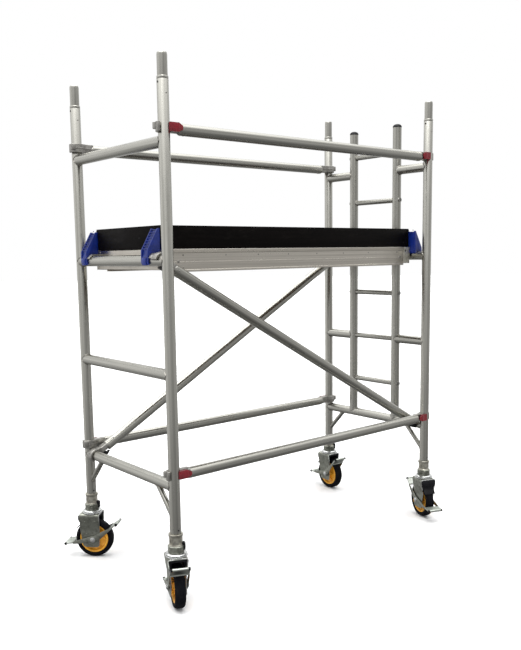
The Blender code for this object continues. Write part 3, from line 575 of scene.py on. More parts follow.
def board_look(name, colour, worn):
    """Phenolic film on ply: faint grain telegraphing through, dusty scuffs along the board."""
    look = Look(name, 0.42, Specular_IOR_Level=0.05)
    grain = look.noise((3, 60, 60), 6.0, 0.6)
    dust = look.noise((7, 26, 26), 6.0, 0.68)
    shade = look.mix(tuple(c * 0.55 for c in colour), colour, look.ramp(grain, (0.35, 0.0), (0.65, 1.0)))
    shade = look.mix(shade, worn, look.ramp(dust, (0.55, 0.0), (0.80, 0.40)))
    return look.finish(shade, grain, 0.20, 0.0004, look.ramp(dust, (0.3, 0.34), (0.75, 0.62)))


def deck_look():
    """Deck film with a pressed wire-mesh grip pattern."""
    look = Look("deck_film", 0.5)
    where = look.place(1, own=False)
    wires = [look.wave(direction, 38, 0.25, where) for direction in ("X", "Y")]
    grid = look.mix(*wires, 1.0, "MULTIPLY")
    dust = look.noise(9, 6.0, 0.65, own=False)
    shade = look.mix((0.018, 0.013, 0.011), (0.036, 0.028, 0.024), grid)
    shade = look.mix(shade, (0.11, 0.095, 0.08), look.ramp(dust, (0.52, 0.0), (0.80, 0.45)))
    return look.finish(shade, grid, 0.5, 0.0006)


def ply_edge_look():
    """Cut edge of plywood: thin alternate veneers, sealed dark."""
    look = Look("ply_edge", 0.7)
    veneers = look.wave("Z", 110, 1.5, look.place(1, own=False))
    return look.finish(look.mix((0.055, 0.035, 0.022), (0.13, 0.085, 0.05), veneers), veneers, 0.3, 0.0004)


def rubber_look():
    """Tyre rubber: matt, dusty where it has rolled."""
    look = Look("tyre_rubber", 0.62, Specular_IOR_Level=0.08)
    fine = look.noise(500, 3.0, 0.6)
    dust = look.noise((35, 35, 60), 6.0, 0.7)
    shade = look.mix((0.003, 0.003, 0.005), (0.020, 0.019, 0.018), look.ramp(dust, (0.48, 0.0), (0.88, 0.6)))
    return look.finish(shade, fine, 0.3, 0.0003)


def plain_look(name, colour, roughness, **fixed):
    """One even colour, for what isn't seen as a surface of its own."""
    return Look(name, roughness, Base_Color=(*colour, 1), **fixed).material


STAIN = (0.46, 0.44, 0.41)
ALUMINIUM = tube_look("drawn_aluminium", (0.56, 0.552, 0.505), (0.385, 0.38, 0.345), 0.27)
EXTRUSION = tube_look("extruded_aluminium", (0.70, 0.66, 0.59), (0.58, 0.545, 0.485), 0.30)
CASTING = cast_look("cast_aluminium", (0.48, 0.47, 0.44), (0.28, 0.27, 0.25), 0.42)
CAP_CASTING = cast_look("pale_casting", (0.80, 0.78, 0.70), (0.58, 0.56, 0.48), 0.50)
WELD = cast_look("weld_metal", (0.52, 0.50, 0.46), (0.25, 0.24, 0.22), 0.42, grain=500, strength=0.5)
ZINC = cast_look("zinc_plate", (0.36, 0.37, 0.32), (0.21, 0.215, 0.185), 0.38, grain=600, strength=0.15)
BRIGHT_ZINC = cast_look("bright_zinc", (0.80, 0.81, 0.80), (0.62, 0.63, 0.62), 0.22, grain=400, strength=0.08)
CAST_ZINC = cast_look("cast_zinc", (0.64, 0.62, 0.54), (0.33, 0.315, 0.27), 0.42, grain=700, strength=0.3)
# A paler copy of the zinc plate for the pedal treads: painted light on them.
LIT_TREAD_ZINC = cast_look("tread_zinc_painted_light", (0.62, 0.65, 0.60), (0.44, 0.47, 0.42), 0.34, grain=500, strength=0.12)
DARK_STEEL = plastic_look("black_steel", (0.008, 0.008, 0.010), (0.030, 0.030, 0.032), 0.45, 600, 0.12)
RED = plastic_look("red_plastic", (0.15, 0.003, 0.009), (0.40, 0.10, 0.10), 0.32, shine=0.45)
BLUE = plastic_look("blue_plastic", (0.002, 0.016, 0.17), (0.02, 0.12, 0.40), 0.34, shine=0.5)
BLACK = plastic_look("black_plastic", (0.006, 0.006, 0.007), (0.05, 0.05, 0.05), 0.50, shine=0.25)
CORE = plastic_look("wheel_core_plastic", (0.80, 0.38, 0.028), (0.66, 0.42, 0.17), 0.38)
RUBBER = rubber_look()
BOARD = board_look("phenolic_film", (0.0030, 0.0022, 0.0020), (0.016, 0.014, 0.012))
DECK = deck_look()
PLY_EDGE = ply_edge_look()
# Flat near-black discs of painted shade, laid where the dark inside of a hole or an open tube end would be.
PAINTED_HOLE_SHADE = plain_look("hole_shadow", (0.012, 0.012, 0.012), 0.9)


# ---------------------------------------------------------------- end frames

def standard_mesh():
    """Tube and spigot: a collar ring at the tube's top and flutes up the spigot."""
    inner, top = TUBE_R - TUBE_WALL, TUBE_TOP
    profile = [(inner, FOOT_Z)] + near((TUBE_R, FOOT_Z), (-0.5, 0), (0, 0.5))
    profile += near((TUBE_R, top), (0, -13.2), (-0.4, -12.7), (-2.2, -12.4), (-2.2, -10.6), (-0.4, -10.3))
    profile += near((TUBE_R, top), (0, -9.8), (0, -1.6), (-1.2, 0))
    profile += near((SPIGOT_R, top), (0.4, 0), (-0.4, 0.6), (0, 4))
    profile += near((SPIGOT_R, SPIGOT_TOP), (0, -10), (-1, -2.8), (-2.2, -0.5), (-3, 0))
    profile += near((SPIGOT_BORE, SPIGOT_TOP), (0.6, 0), (0, -0.6))
    profile += [(SPIGOT_BORE, top - SPIGOT_DEPTH), (inner, top - SPIGOT_DEPTH - 0.001)]

    def fluted(angle, radius, height):
        if height < top + 0.003 or radius < SPIGOT_BORE + 0.0008:
            return radius
        return radius - 0.0007 * max(0.0, math.cos(angle * 8)) ** 4

    return lathe("standard", profile, 64, ring=True, shape=fluted)


def pin_hole(at, outward, radius=0.0045):
    """A drilled hole, drawn as a thin dark disc of painted shade inside a bright rubbed rim."""
    rim = near((radius, 0), (0, -0.4), (0.7, -0.2), (0.8, 0.1), (0, 0.3))
    disc = near((0, 0), (0, -0.1)) + near((radius, 0), (0.1, -0.1), (0.1, 0.1)) + near((0, 0), (0, 0.1))
    axes = axes_along(at, outward)
    return [(lathe("rim", rim, SMALL_SIDES, ring=True, axes=axes), CASTING),
            (lathe("hole", disc, SMALL_SIDES, axes=axes), PAINTED_HOLE_SHADE)]


def make_standards():
    """The four standards with their pin holes and rivets."""
    mesh = standard_mesh()
    for y, x in CORNERS:
        spot = at_height(STANDARDS[f"{y}_{x}"], 0)
        parts = [(moved(mesh, Matrix.Translation(spot)), ALUMINIUM)]
        for outward in (Vector((1, 0, 0)), Vector((-1, 0, 0))):
            parts += pin_hole(at_height(spot, TUBE_TOP - PIN_DROP) + outward * TUBE_R, outward)
        for outward in (Vector((0, 1, 0)), Vector((0, -1, 0))):
            parts += pin_hole(at_height(spot, FOOT_Z + FOOT_PIN_RISE) + outward * TUBE_R, outward)
            rivet_at = at_height(spot, TUBE_TOP - SPIGOT_RIVET_DROP) + outward * TUBE_R
            parts += rivets([rivet_at], outward, CASTING, 0.0035, 0.0012)
        piece(f"standard_tube_{y}_{x}", parts, "tower", [f"standard_{y}_{x}"])


def knee_parts(x, z):
    """Two knee braces and their welds."""
    parts = []
    for side in SIDE_Y.values():
        foot = Vector((x, CENTRE_Y + side * HALF_W, z + KNEE_FOOT_RISE))
        head = Vector((x, CENTRE_Y + side * KNEE_HEAD_Y, z))
        seats = seat(foot, (0, 0, 1)), seat((x, CENTRE_Y, z), (0, 1, 0))
        parts.append((tube("knee", foot, head, KNEE_R, *seats, MID_SIDES), ALUMINIUM))
        parts += welds(foot, head, KNEE_R, seats, *SMALL_WELD)
    return parts


def ledger_parts(x, z):
    """A ledger between two standards, with its welds."""
    front, back = (Vector((x, CENTRE_Y + side * HALF_W, z)) for side in SIDE_Y.values())
    seats = seat(front, (0, 0, 1)), seat(back, (0, 0, 1))
    return [(tube("ledger", front, back, TUBE_R, *seats), ALUMINIUM)] + welds(front, back, TUBE_R, seats)


def make_ledgers():
    """The plain end frame's four ledgers."""
    for level, z in LEDGER_Z.items():
        parts = ledger_parts(LEFT_X, z)
        if level == "bottom":
            parts += knee_parts(LEFT_X, z)
        piece(f"ledger_tube_{level}", parts, "tower", [f"left_ledger_{level}"])


def make_ladder():
    """Bottom ledger, stiles, stubs and rungs with their welds."""
    bottom = LEDGER_Z["bottom"]
    parts = ledger_parts(RIGHT_X, bottom) + knee_parts(RIGHT_X, bottom)
    cap_low, cap_high = box_of("stile_cap_front")
    stile_y = abs((cap_low.y + cap_high.y) / 2 - CENTRE_Y)
    ledger = seat((RIGHT_X, CENTRE_Y, bottom), (0, 1, 0))
    feet = [Vector((RIGHT_X, CENTRE_Y + side * stile_y, bottom)) for side in SIDE_Y.values()]
    rung_heights = [FIRST_RUNG_Z + count * RUNG_PITCH for count in range(RUNG_COUNT)]
    for side, foot in zip(SIDE_Y.values(), feet):
        parts.append((tube("stile", foot, at_height(foot, cap_low.z + CAP_DEPTH), TUBE_R, ledger), ALUMINIUM))
        parts.append((weld(foot, (0, 0, 1), TUBE_R, ledger), WELD))
        for level in ("middle", "platform", "top"):
            inner = at_height(foot, LEDGER_Z[level])
            outer = Vector((inner.x, CENTRE_Y + side * HALF_W, inner.z))
            seats = seat(outer, (0, 0, 1)), seat(inner, (0, 0, 1))
            parts.append((tube("stub", outer, inner, TUBE_R - 0.0002, *seats), ALUMINIUM))
            parts += welds(outer, inner, TUBE_R, seats)
        for z in rung_heights:
            # The rung at the middle stub's height ends behind it.
            if abs(z - LEDGER_Z["middle"]) > RUNG_R:
                parts += rung_end_parts(at_height(foot, z), side)
    for z in rung_heights:
        ends = [at_height(foot, z) for foot in feet]
        seats = [seat(end, (0, 0, 1)) for end in ends]
        parts.append((rung_mesh(ends, seats), ALUMINIUM))
        parts += welds(*ends, RUNG_R, seats, *RUNG_WELD)
    piece("ladder_tubes", parts, "tower", ["ladder_frame"])


def rung_mesh(ends, seats):
    """A rung with fine grip flutes along it."""
    start, end = ends
    along = (end - start).normalized()
    sides, flute = 72, 0.0006
    plain = [RUNG_R - flute] * sides
    fluted = [RUNG_R - (flute if side % 6 in (0, 1) else 0.0) for side in range(sides)]
    at_start, at_end = (start, along, seats[0]), (end, -along, seats[1])
    bm = bmesh.new()
    loops = []
    for place, sizes, ease in ((at_start, plain, 0), (at_start, fluted, 0.001),
                               (at_end, fluted, 0.001), (at_end, plain, 0)):
        loops.append(end_loop(bm, *place, across(along), sizes, ease))
    skin(bm, loops)
    for loop in (loops[0], loops[-1]):
        bm.faces.new(loop)
    return stamp(finish_mesh(bm, "rung", 30), axes_along(start, along))


def rung_end_parts(middle, side):
    """The rung's open end, flared over on the outside of the stile; its hollow is a thin dark disc of painted
    shade.
    """
    outward = Vector((0, side, 0))
    axes = axes_along(middle + outward * (TUBE_R - 0.0006), outward)
    flare = near((RUNG_R, 0), (-3, -2), (-3, 1.2), (-2.2, 1.8), (-0.8, 1.2), (0, -3))
    # A thin dark disc of painted shade fills the open end.
    inside = near((0, 0), (0, 0.2)) + near((RUNG_R, 0), (-2.9, 0.2), (-2.9, -0.4)) + near((0, 0), (0, -0.4))
    return [(lathe("flare", flare, MID_SIDES, ring=True, axes=axes), CASTING),
            (lathe("inside", inside, MID_SIDES, axes=axes), PAINTED_HOLE_SHADE)]


def make_caps():
    """Domed plastic caps pushed into the stiles."""
    for y in SIDE_Y:
        low, high = box_of(f"stile_cap_{y}")
        middle = (low + high) / 2
        rim = (high.x - low.x) / 2
        seat_z = low.z + CAP_DEPTH + 0.0003
        dome_z = seat_z + 0.0055
        profile = near((rim, low.z), (-4.5, 0), (-3.5, 1))
        profile += near((rim, seat_z), (-3.5, 0), (-0.8, 0), (0, 0.8), (0, 4.5), (-0.8, 5.5))
        for bend in map(math.radians, range(10, 91, 10)):
            profile.append(((rim - 0.0012) * math.cos(bend), dome_z + (high.z - dome_z) * math.sin(bend)))
        cap = lathe("cap", profile, FINE_SIDES, axes=Matrix.Translation(at_height(middle, 0)))
        piece(f"stile_cap_dome_{y}", [(cap, BLACK)], "tower", [f"stile_cap_{y}"])


# ---------------------------------------------------------------- braces

def claw_frame(held, towards, inside):
    """A claw's own frame on the tube that it holds: X to the brace's middle, Y to the back of the C."""
    axes = Matrix((towards, inside, towards.cross(inside))).transposed()
    return Matrix.Translation(held) @ axes.to_4x4()


def through(place):
    """A map of (u, v, w) by a matrix."""
    return lambda u, v, w: place @ Vector((u, v, w))


def collar_mesh(centre, towards, back):
    """The plug in the brace's end, flattened in front to let the trigger slide past it."""
    profile = near((0, 0), (0, -10)) + near((TUBE_R, 0), (-6, -10), (-1.5, -4), (-0.6, -0.4), (-0.6, 0.6))
    profile += near((0, 0), (0, 0.6))
    collar = lathe("collar", profile, FINE_SIDES, axes=axes_along(centre, towards))
    for vert in collar.vertices:
        depth = (vert.co - centre).dot(back)
        ahead = (vert.co - centre).dot(towards)
        if depth < -COLLAR_DEPTH and ahead < -0.0007:
            vert.co += back * (-COLLAR_DEPTH - depth)
    return collar


def claw_parts(place, low, high):
    """The cast C with its waist and rib, the collar at the tube and the pins."""
    inner, lip, shape = TUBE_R + HUG, -CLAW_LIP, through(place)
    outline = [(inner, lip)] + arc(inner, 0, 180, 24) + near((-inner, lip), (0, 0), (-3, -3))
    outline += near((-CLAW_R, lip), (1, 1)) + arc(CLAW_R, 180, 50, 18) + near((0, 0), (40, 22.5), (58, 20))
    outline += near((CLAW_TO_TUBE, 0), (2, 20), (2, -8)) + near((CLAW_R, 0), (2, -8))
    outline += near((CLAW_R, lip), (-1, 0))
    middle = (low + high) / 2
    rib = near((0, 0), (-24, 25.8)) + arc(CLAW_R + 0.0016, 130, 50, 10)
    rib += near((0, 0), (40, 24), (70, 21.5), (70, 16))
    towards, back, across_it = (place.col[axis].xyz for axis in range(3))
    centre = place @ Vector((CLAW_TO_TUBE, 0, 0))
    parts = [(prism("claw", outline, low, high, shape, 0.0028, 3), CASTING),
             (prism("rib", rib, middle - 0.004, middle + 0.004, shape, 0.0015), CASTING),
             (collar_mesh(centre, towards, back), CASTING)]
    for outward in (-across_it, across_it):
        pin_at = centre + towards * 0.016 + outward * (TUBE_R - 0.0003)
        parts += rivets([pin_at], outward, CASTING, 0.0042, 0.0016)
    return parts


def horn_mesh(place, low, high):
    """The tapered horn on a level claw's far side, standing clear of the tube."""
    root = CLAW_R - 0.005
    points = ((root, 172), (0.0430, 158), (0.0475, 149), (0.0470, 141), (0.0420, 128), (root, 114))
    outline = [arc(radius, angle, angle, 1)[0] for radius, angle in points]
    return prism("horn", outline, low, high, through(place), 0.0022, 3)


def trigger_mesh(place, low, high):
    """The sliding latch: nose, ribbed thumb ridge and a tail that narrows."""
    shoulder, face = TRIGGER_SHOULDER, TRIGGER_FACE
    outline = arc(TUBE_R + 0.0016, -32, -68, 6) + near((0, face), (13.8, 0.4), (42, 0.6), (50, -0.4))
    outline += near((shoulder, face), (-1, -2.4))
    for step in range(4):
        outline += near((shoulder + step * 0.0045, face), (3, step * 0.4 - 1.6), (5.2, step * 0.3 - 0.6))
    outline += near((TRIGGER_TAIL, face), (0, 0.6)) + near((TRIGGER_TAIL, 0), (0, -27))
    outline += near((shoulder, 0), (1, -27)) + near((shoulder, -CLAW_LIP), (0, -0.8))
    outline += near((0, -CLAW_LIP), (30, -0.8))
    middle = (low + high) / 2

    def narrowed(u, v, w):
        part = max(0.0, (u - shoulder) / (TRIGGER_TAIL - shoulder))
        return place @ Vector((u, v, middle + (w - middle) * (1 - part * (1 - TRIGGER_TAIL_SCALE))))

    return prism("trigger", outline, low, high, narrowed, 0.0014, cut_at=shoulder)


def brace_ends(name):
    """The held points of a brace and the direction from its triggers to the backs of its claws."""
    kind, y = name.rsplit("_", 1)
    side = SIDE_Y[y]
    middle = middle_of(name)
    if kind != "diagonal_brace":
        ends = [Vector((x, CENTRE_Y + side * HALF_W, middle.z)) for x in (LEFT_X, RIGHT_X)]
        return ends, Vector((0, -side, 0))
    left_z, right_z = (LEDGER_Z[level] for level in ("bottom", "platform")[::side])
    ends = [Vector((LEFT_X, middle.y, left_z)), Vector((RIGHT_X, middle.y, right_z))]
    along = (ends[1] - ends[0]).normalized()
    return ends, Vector((-along.z, 0, along.x))


def make_brace(name):
    """A brace's tube and claws, and its two triggers: red on a level brace, black on a diagonal."""
    ends, inside = brace_ends(name)
    along = (ends[1] - ends[0]).normalized()
    first, last = ends[0] + along * CLAW_TO_TUBE, ends[1] - along * CLAW_TO_TUBE
    parts = [(tube("brace", first, last, TUBE_R), ALUMINIUM)]
    for label, end, towards in (("left", ends[0], along), ("right", ends[1], -along)):
        place = claw_frame(end, towards, inside)
        upper = round(place.col[2].z)
        low, high = sorted(w * upper for w in CLAW_SPAN_LEVEL) if upper else CLAW_SPAN
        parts += claw_parts(place, low, high)
        if upper:
            parts.append((horn_mesh(place, *sorted(w * upper for w in HORN_SPAN)), CASTING))
        node = f"{name}_trigger_{label}"
        trigger = trigger_mesh(place, low + TRIGGER_INSET, high - TRIGGER_INSET)
        look, slot = (RED, "trigger") if upper else (BLACK, "diagonal_trigger")
        piece(f"{name}_latch_{label}", [(trigger, look)], node, [node])
    piece(f"{name}_tube", parts, "tower", [name])


def make_braces():
    """The guardrails, base braces and diagonals."""
    for kind in ("guardrail", "base_brace", "diagonal_brace"):
        for y in SIDE_Y:
            make_brace(f"{kind}_{y}")


# ---------------------------------------------------------------- platform

def mirrored(side_x):
    """A map of an outline in x away from the middle and z, with w along Y, to one end of the tower."""
    return lambda u, v, w: (CENTRE_X + side_x * u, w, v)


def stamp_over(mesh, axes):
    """Replaces the piece's own frame that prism stored."""
    mesh.attributes.remove(mesh.attributes["own"])
    return stamp(mesh, axes)


def beam_outline():
    """Section of a side beam: y away from the middle, then z."""
    top, shelf, bottom, web, lip = DECK_TOP, SHELF_TOP, BEAM_BOTTOM, WEB_Y, LIP_Y
    inside = web - SHEET
    outline = near((lip, top), (-1.2, 0)) + [(RIM_Y, top), (RIM_Y, top - SHEET), (inside, top - SHEET)]
    outline += [(inside, shelf), (SHELF_Y, shelf), (SHELF_Y, shelf - SHEET), (inside, shelf - SHEET)]
    outline += [(inside, bottom + SHEET), (RIM_Y, bottom + SHEET), (RIM_Y, bottom)]
    outline += near((web, bottom), (1, 0), (2.2, 1.2), (2.2, 8.5), (1, 10), (0, 11))
    outline += near((web, (shelf + bottom) / 2), (0, -4), (0.8, -3), (0.8, 3), (0, 4))
    outline += near((web, shelf), (0, -1), (1, 0)) + near((lip, shelf), (-1.2, 0), (0, 1.2))
    for line in (5.8, 11.2):
        outline += near((lip, shelf), (0, line - 0.7), (-0.8, line), (0, line + 0.7))
    return outline + near((lip, top), (0, -1.2))


def hook_outline():
    """Cast hook over a ledger: x away from the middle, then z."""
    hub = (HALF_L, LEDGER_Z["platform"])
    inner, outer = TUBE_R + HUG, TUBE_R + HOOK_SHEET
    outline = arc(inner, 150, 20, 18, hub) + arc(outer, 20, 100, 12, hub)
    return outline + [(END_OUTER_X - 0.003, hub[1] + outer), (END_OUTER_X - 0.003, hub[1] + inner * 0.5)]


def make_platform():
    """The platform's side beams and end members."""
    parts = []
    for side in SIDE_Y.values():
        beam = prism("beam", beam_outline(), -BEAM_HALF_LENGTH, BEAM_HALF_LENGTH,
                     lambda y, z, x, s=side: (CENTRE_X + x, CENTRE_Y + s * y, z), 0.0005, 1)
        parts.append((stamp_over(beam, axes_along((CENTRE_X, 0, 0), (1, 0, 0))), EXTRUSION))
    for x, side_x in SIDE_X.items():
        parts += end_member_parts(x, side_x)
    piece("platform_rails", parts, "tower", ["platform_frame"])


def end_member_parts(x, side_x):
    """The box section across one end, its end plates, hooks and rivets."""
    parts = []
    first, last, wall = BEAM_HALF_LENGTH - 0.002, END_OUTER_X, END_WALL
    bottom, top = END_BOTTOM, DECK_TOP
    for low, high in (((first, bottom), (last, bottom + wall)), ((first, top - wall), (last, top)),
                      ((first, bottom), (first + wall, top)), ((last - wall, bottom), (last, top))):
        xs = sorted((CENTRE_X + side_x * low[0], CENTRE_X + side_x * high[0]))
        corners = (xs[0], CENTRE_Y - WEB_Y, low[1]), (xs[1], CENTRE_Y + WEB_Y, high[1])
        member = block("member", *corners, 0.0005, 1)
        parts.append((stamp_over(member, axes_along((0, 0, 0), (0, 1, 0))), EXTRUSION))
    for side_y in SIDE_Y.values():
        parts += end_plate_parts(side_x, side_y)
    for y, side_y in SIDE_Y.items():
        hook_y = HOOK_Y[f"{y}_{x}"] + CENTRE_Y
        ends = hook_y - HOOK_WIDTH / 2, hook_y + HOOK_WIDTH / 2
        parts.append((prism("hook", hook_outline(), *ends, mirrored(side_x), 0.0018, 2), CASTING))
        for away, z, radius, height in WEB_RIVETS:
            at = (CENTRE_X + side_x * away, CENTRE_Y + side_y * WEB_Y, z)
            parts += rivets([at], (0, side_y, 0), CASTING, radius, height)
        face = CENTRE_X + side_x * END_OUTER_X
        spots = [(face, hook_y + offset, LEDGER_Z["platform"] + 0.0405) for offset in (-0.006, 0.006)]
        parts += rivets(spots, (side_x, 0, 0), CASTING, 0.0030, 0.0014)
    return parts


def end_plate_parts(side_x, side_y):
    """The cast plate that closes a box section's end, with its corner cut off and a locating hole."""
    low_x, high_x, cut = BEAM_HALF_LENGTH + 0.0004, END_OUTER_X - 0.0006, 0.018
    low_z, high_z = END_BOTTOM + 0.0006, DECK_TOP - 0.0008
    outline = [(low_x, low_z), (high_x - cut, low_z), (high_x, low_z + cut)]
    outline += [(high_x, high_z), (low_x, high_z)]
    face_y = CENTRE_Y + side_y * (WEB_Y + 0.0016)
    faces = sorted((CENTRE_Y + side_y * (WEB_Y - 0.004), face_y))
    plate = prism("plate", outline, *faces, mirrored(side_x), 0.0010, 2)
    outward = Vector((0, side_y, 0))
    hole_at = Vector((CENTRE_X + side_x * (low_x + 0.016), face_y, high_z - 0.020))
    rivet_x = CENTRE_X + side_x * (high_x - 0.012)
    spots = [(rivet_x, face_y, high_z - drop) for drop in (0.016, 0.052)]
    fixings = pin_hole(hole_at, outward, 0.0060) + rivets(spots, outward, CASTING, 0.0042)
    return [(plate, CAP_CASTING)] + fixings


def board_parts(name, low, high):
    """A ply board with a grip film on top."""
    film_z = high.z - DECK_FILM
    film_corners = (low.x + 0.001, low.y + 0.001, film_z), (high.x - 0.001, high.y - 0.001, high.z)
    return [(block(name, low, at_height(high, film_z), 0.0004, 1), PLY_EDGE),
            (block("film", *film_corners, 0.0002, 1), DECK)]


def make_deck():
    """The fixed deck board and the rivets that hold it."""
    low, high = box_of("platform_deck")
    parts = board_parts("deck", low, high)
    rivet_ys = [low.y + 0.03 + count * (high.y - low.y - 0.06) / 3 for count in range(4)]
    for x in (low.x + 0.02, high.x - 0.02):
        spots = [(x, y, high.z - 0.0009) for y in rivet_ys]
        parts += rivets(spots, (0, 0, 1), CASTING, 0.0055, 0.0012)
    piece("deck_board", parts, "tower", ["platform_deck"])


def make_hatch():
    """The trapdoor, with two hinge straps and a latch under it."""
    low, high = box_of("hatch")
    parts = board_parts("hatch", low, high)
    down, under = (0, 0, -1), low.z
    for x in (low.x + 0.11, high.x - 0.11):
        corners = (x - 0.018, high.y - 0.072, under - 0.0022), (x + 0.018, high.y - 0.002, under)
        parts.append((block("strap", *corners, 0.0006), CASTING))
        for y in (high.y - 0.058, high.y - 0.034):
            spots = [(x + offset, y, under - 0.0018) for offset in (-0.010, 0.010)]
            parts += rivets(spots, down, CASTING, 0.0035)
    x = (low.x + high.x) / 2
    corners = (x - 0.035, low.y + 0.006, under - 0.009), (x + 0.035, low.y + 0.038, under)
    parts.append((block("latch", *corners, 0.002), BLACK))
    spots = [(x + offset, low.y + 0.022, under - 0.0088) for offset in (-0.024, 0.024)]
    parts += rivets(spots, down, CASTING, 0.0034)
    piece("hatch_board", parts, "hatch", ["hatch"])


def make_toe_boards():
    """The four toe boards with their rivets."""
    for name in ("front", "back", "left", "right"):
        low, high = box_of(f"toe_board_{name}")
        middle = (low + high) / 2
        board = block("board", low, high, 0.0012, 2)
        if name in SIDE_Y:
            outward, height = Vector((0, SIDE_Y[name], 0)), 0.0012
            face = high.y if SIDE_Y[name] > 0 else low.y
            heights = low.z + 0.026, high.z - 0.026
            spots = [(x, face, z) for x in (low.x + 0.030, high.x - 0.030) for z in heights]
        else:
            stamp_over(board, axes_along((0, 0, 0), (0, 1, 0)) @ Matrix.Rotation(math.pi / 2, 4, "Y"))
            outward, height = Vector((SIDE_X[name], 0, 0)), 0.0004
            face = high.x if SIDE_X[name] > 0 else low.x
            spots = [(face, middle.y + offset, middle.z) for offset in (-0.11, 0.11)]
        parts = [(board, BOARD)] + rivets(spots, outward, DARK_STEEL, 0.0040, height)
        piece(f"toe_board_{name}_film", parts, "tower", [f"toe_board_{name}"])


def clip_outline(cut=0.0):
    """Buttress behind an end toe board on a clamp over the ledger. cut draws the slope in."""
    hub = (HALF_L, LEDGER_Z["platform"])
    back = END_BOARD_FACE + 0.0004
    outline = arc(TUBE_R + HUG, 150, -35, 22, hub) + arc(CLIP_R, -35, 10, 6, hub)
    outline += near((CLIP_FOOT_X - cut, CLIP_FOOT_Z), (0, -12), (-0.8, 0))
    outline += [(CLIP_TOP_X - cut * 0.3, CLIP_TOP - cut), (back, CLIP_TOP - cut)]
    return outline + [(back, hub[1] + 0.024)]


def clip_parts(side_x, middle, half):
    """A clip's core between two cheeks, ribs down its slope, a tongue on the ledger and two screws."""
    shape = mirrored(side_x)
    hub = (HALF_L, LEDGER_Z["platform"])
    low, high = middle - half, middle + half
    parts = [(prism("core", clip_outline(0.007), low + 0.004, high - 0.004, shape, 0.0008), BLUE)]
    parts += both_sides("cheek", clip_outline(), half - 0.007, half, shape, BLUE, 0.0014, middle=middle)
    for step in range(CLIP_RIBS):
        part = (step + 0.5) / CLIP_RIBS
        at = (CLIP_FOOT_X + (CLIP_TOP_X - CLIP_FOOT_X) * part, CLIP_FOOT_Z + (CLIP_TOP - CLIP_FOOT_Z) * part)
        rib = near(at, (-12, -1.6), (-1.4, -1.6), (-2.2, 1.6), (-12, 1.6))
        parts.append((prism("rib", rib, low + 0.005, high - 0.005, shape, 0.0004, 1), BLUE))
    tongue = arc(CLIP_R - 0.001, -32, 20, 8, hub) + arc(CLIP_R + 0.0045, 20, -32, 8, hub)
    parts.append((prism("tongue", tongue, middle - 0.018, middle + 0.018, shape, 0.0012), BLUE))
    face = CENTRE_X + side_x * (END_BOARD_FACE - 0.0002)
    spots = [(face, middle + offset, CLIP_TOP + 0.004) for offset in (-0.016, 0.016)]
    return parts + rivets(spots, (side_x, 0, 0), DARK_STEEL, 0.0030, 0.0016)


def make_clips():
    """A clip behind each end of the end toe boards."""
    for x, side_x in SIDE_X.items():
        for y in SIDE_Y:
            node = f"toe_board_clip_{y}_{x}"
            low, high = box_of(node)
            parts = clip_parts(side_x, (low.y + high.y) / 2, (high.y - low.y) / 2)
            piece(f"clip_{y}_{x}", parts, "tower", [node])


# ---------------------------------------------------------------- castors
# In a castor's own frame +X points to the high tread and Y runs along the axle.

def stem_parts():
    """Swivel head, ribbed socket, windowed neck and the plug up the standard."""
    foot, top = FORK_TOP + 0.0005, DISC_TOP
    disc = [(0, foot)] + near((DISC_R, foot), (-3, 0), (-0.6, 1.2), (0, 3), (-0.6, 5.2), (-3.5, 6.6))
    disc += near((DISC_R, foot), (-7.5, 7), (-7.5, 8.8), (-4.5, 9.4), (-3, 10.8), (-3, 12.8), (-5.5, 15))
    disc += near((DISC_R, top), (-10, -1)) + near((0, top), (38.5, 0.2), (0, 0.2))
    parts = [(lathe("disc", disc, 56), BRIGHT_ZINC)]

    first = top + 0.0015
    pitch = (SOCKET_TOP - first) / SOCKET_RIBS
    groove_r = SOCKET_R - 0.0024
    socket = near((0, top), (0, -0.5)) + near((SOCKET_R, top), (-2.6, -0.5))
    for rib in range(SOCKET_RIBS):
        base = first + rib * pitch
        socket += [(groove_r, base), (SOCKET_R, base + pitch * 0.30), (SOCKET_R, base + pitch * 0.66)]
    socket += near((SOCKET_R, SOCKET_TOP), (-2.4, 0), (-4, 1.2)) + near((0, SOCKET_TOP), (0, 1.2))
    parts.append((lathe("socket", socket, 48), ZINC))

    low, high = WINDOW_Z

    def windowed(angle, radius, height):
        turn = math.degrees(angle) % 90
        inside = 27 < turn < 63 and low - 0.0001 < height < high + 0.0001
        return radius - 0.0045 if inside and radius > 0.029 else radius

    neck = [(0, SOCKET_TOP)] + near((NECK_R, SOCKET_TOP), (1.5, 0))
    neck += near((NECK_R, NECK_TOP), (1.5, -50), (0, -48.5))
    neck += near((NECK_R, low), (0, -0.6), (0, 0)) + near((NECK_R, high), (0, 0), (0, 0.6))
    neck += near((NECK_R, NECK_TOP), (0, -13.5), (1.8, -12), (2.5, -10.5), (2.5, -1.5), (1.2, 0))
    neck += near((PLUG_R, NECK_TOP), (0, 0.2)) + near((PLUG_R, PLUG_TOP), (0, -8), (-6, 0)) + [(0, PLUG_TOP)]
    parts.append((lathe("neck", neck, 80, shape=windowed), CAST_ZINC))
    lug = mm((30, 266.5), (41.2, 266.5), (42.4, 268), (42.4, 292), (40, 299), (34.5, 301.8), (26, 301.8))
    parts.append((prism("lug", lug, -0.0098, 0.0098, upright, 0.0012), DARK_STEEL))
    return parts + rivets([(0.0422, 0, 0.280)], (1, 0, 0), ZINC, 0.0036, 0.0012)


def cheek_y(z):
    """How far from the middle a cheek's outer face is at this height."""
    lean = max(0.0, min(1.0, (z - FORK_BEND_Z) / (FORK_TOP - 0.012 - FORK_BEND_Z)))
    return FORK_FOOT_Y + (FORK_HEAD_Y - FORK_FOOT_Y) * lean


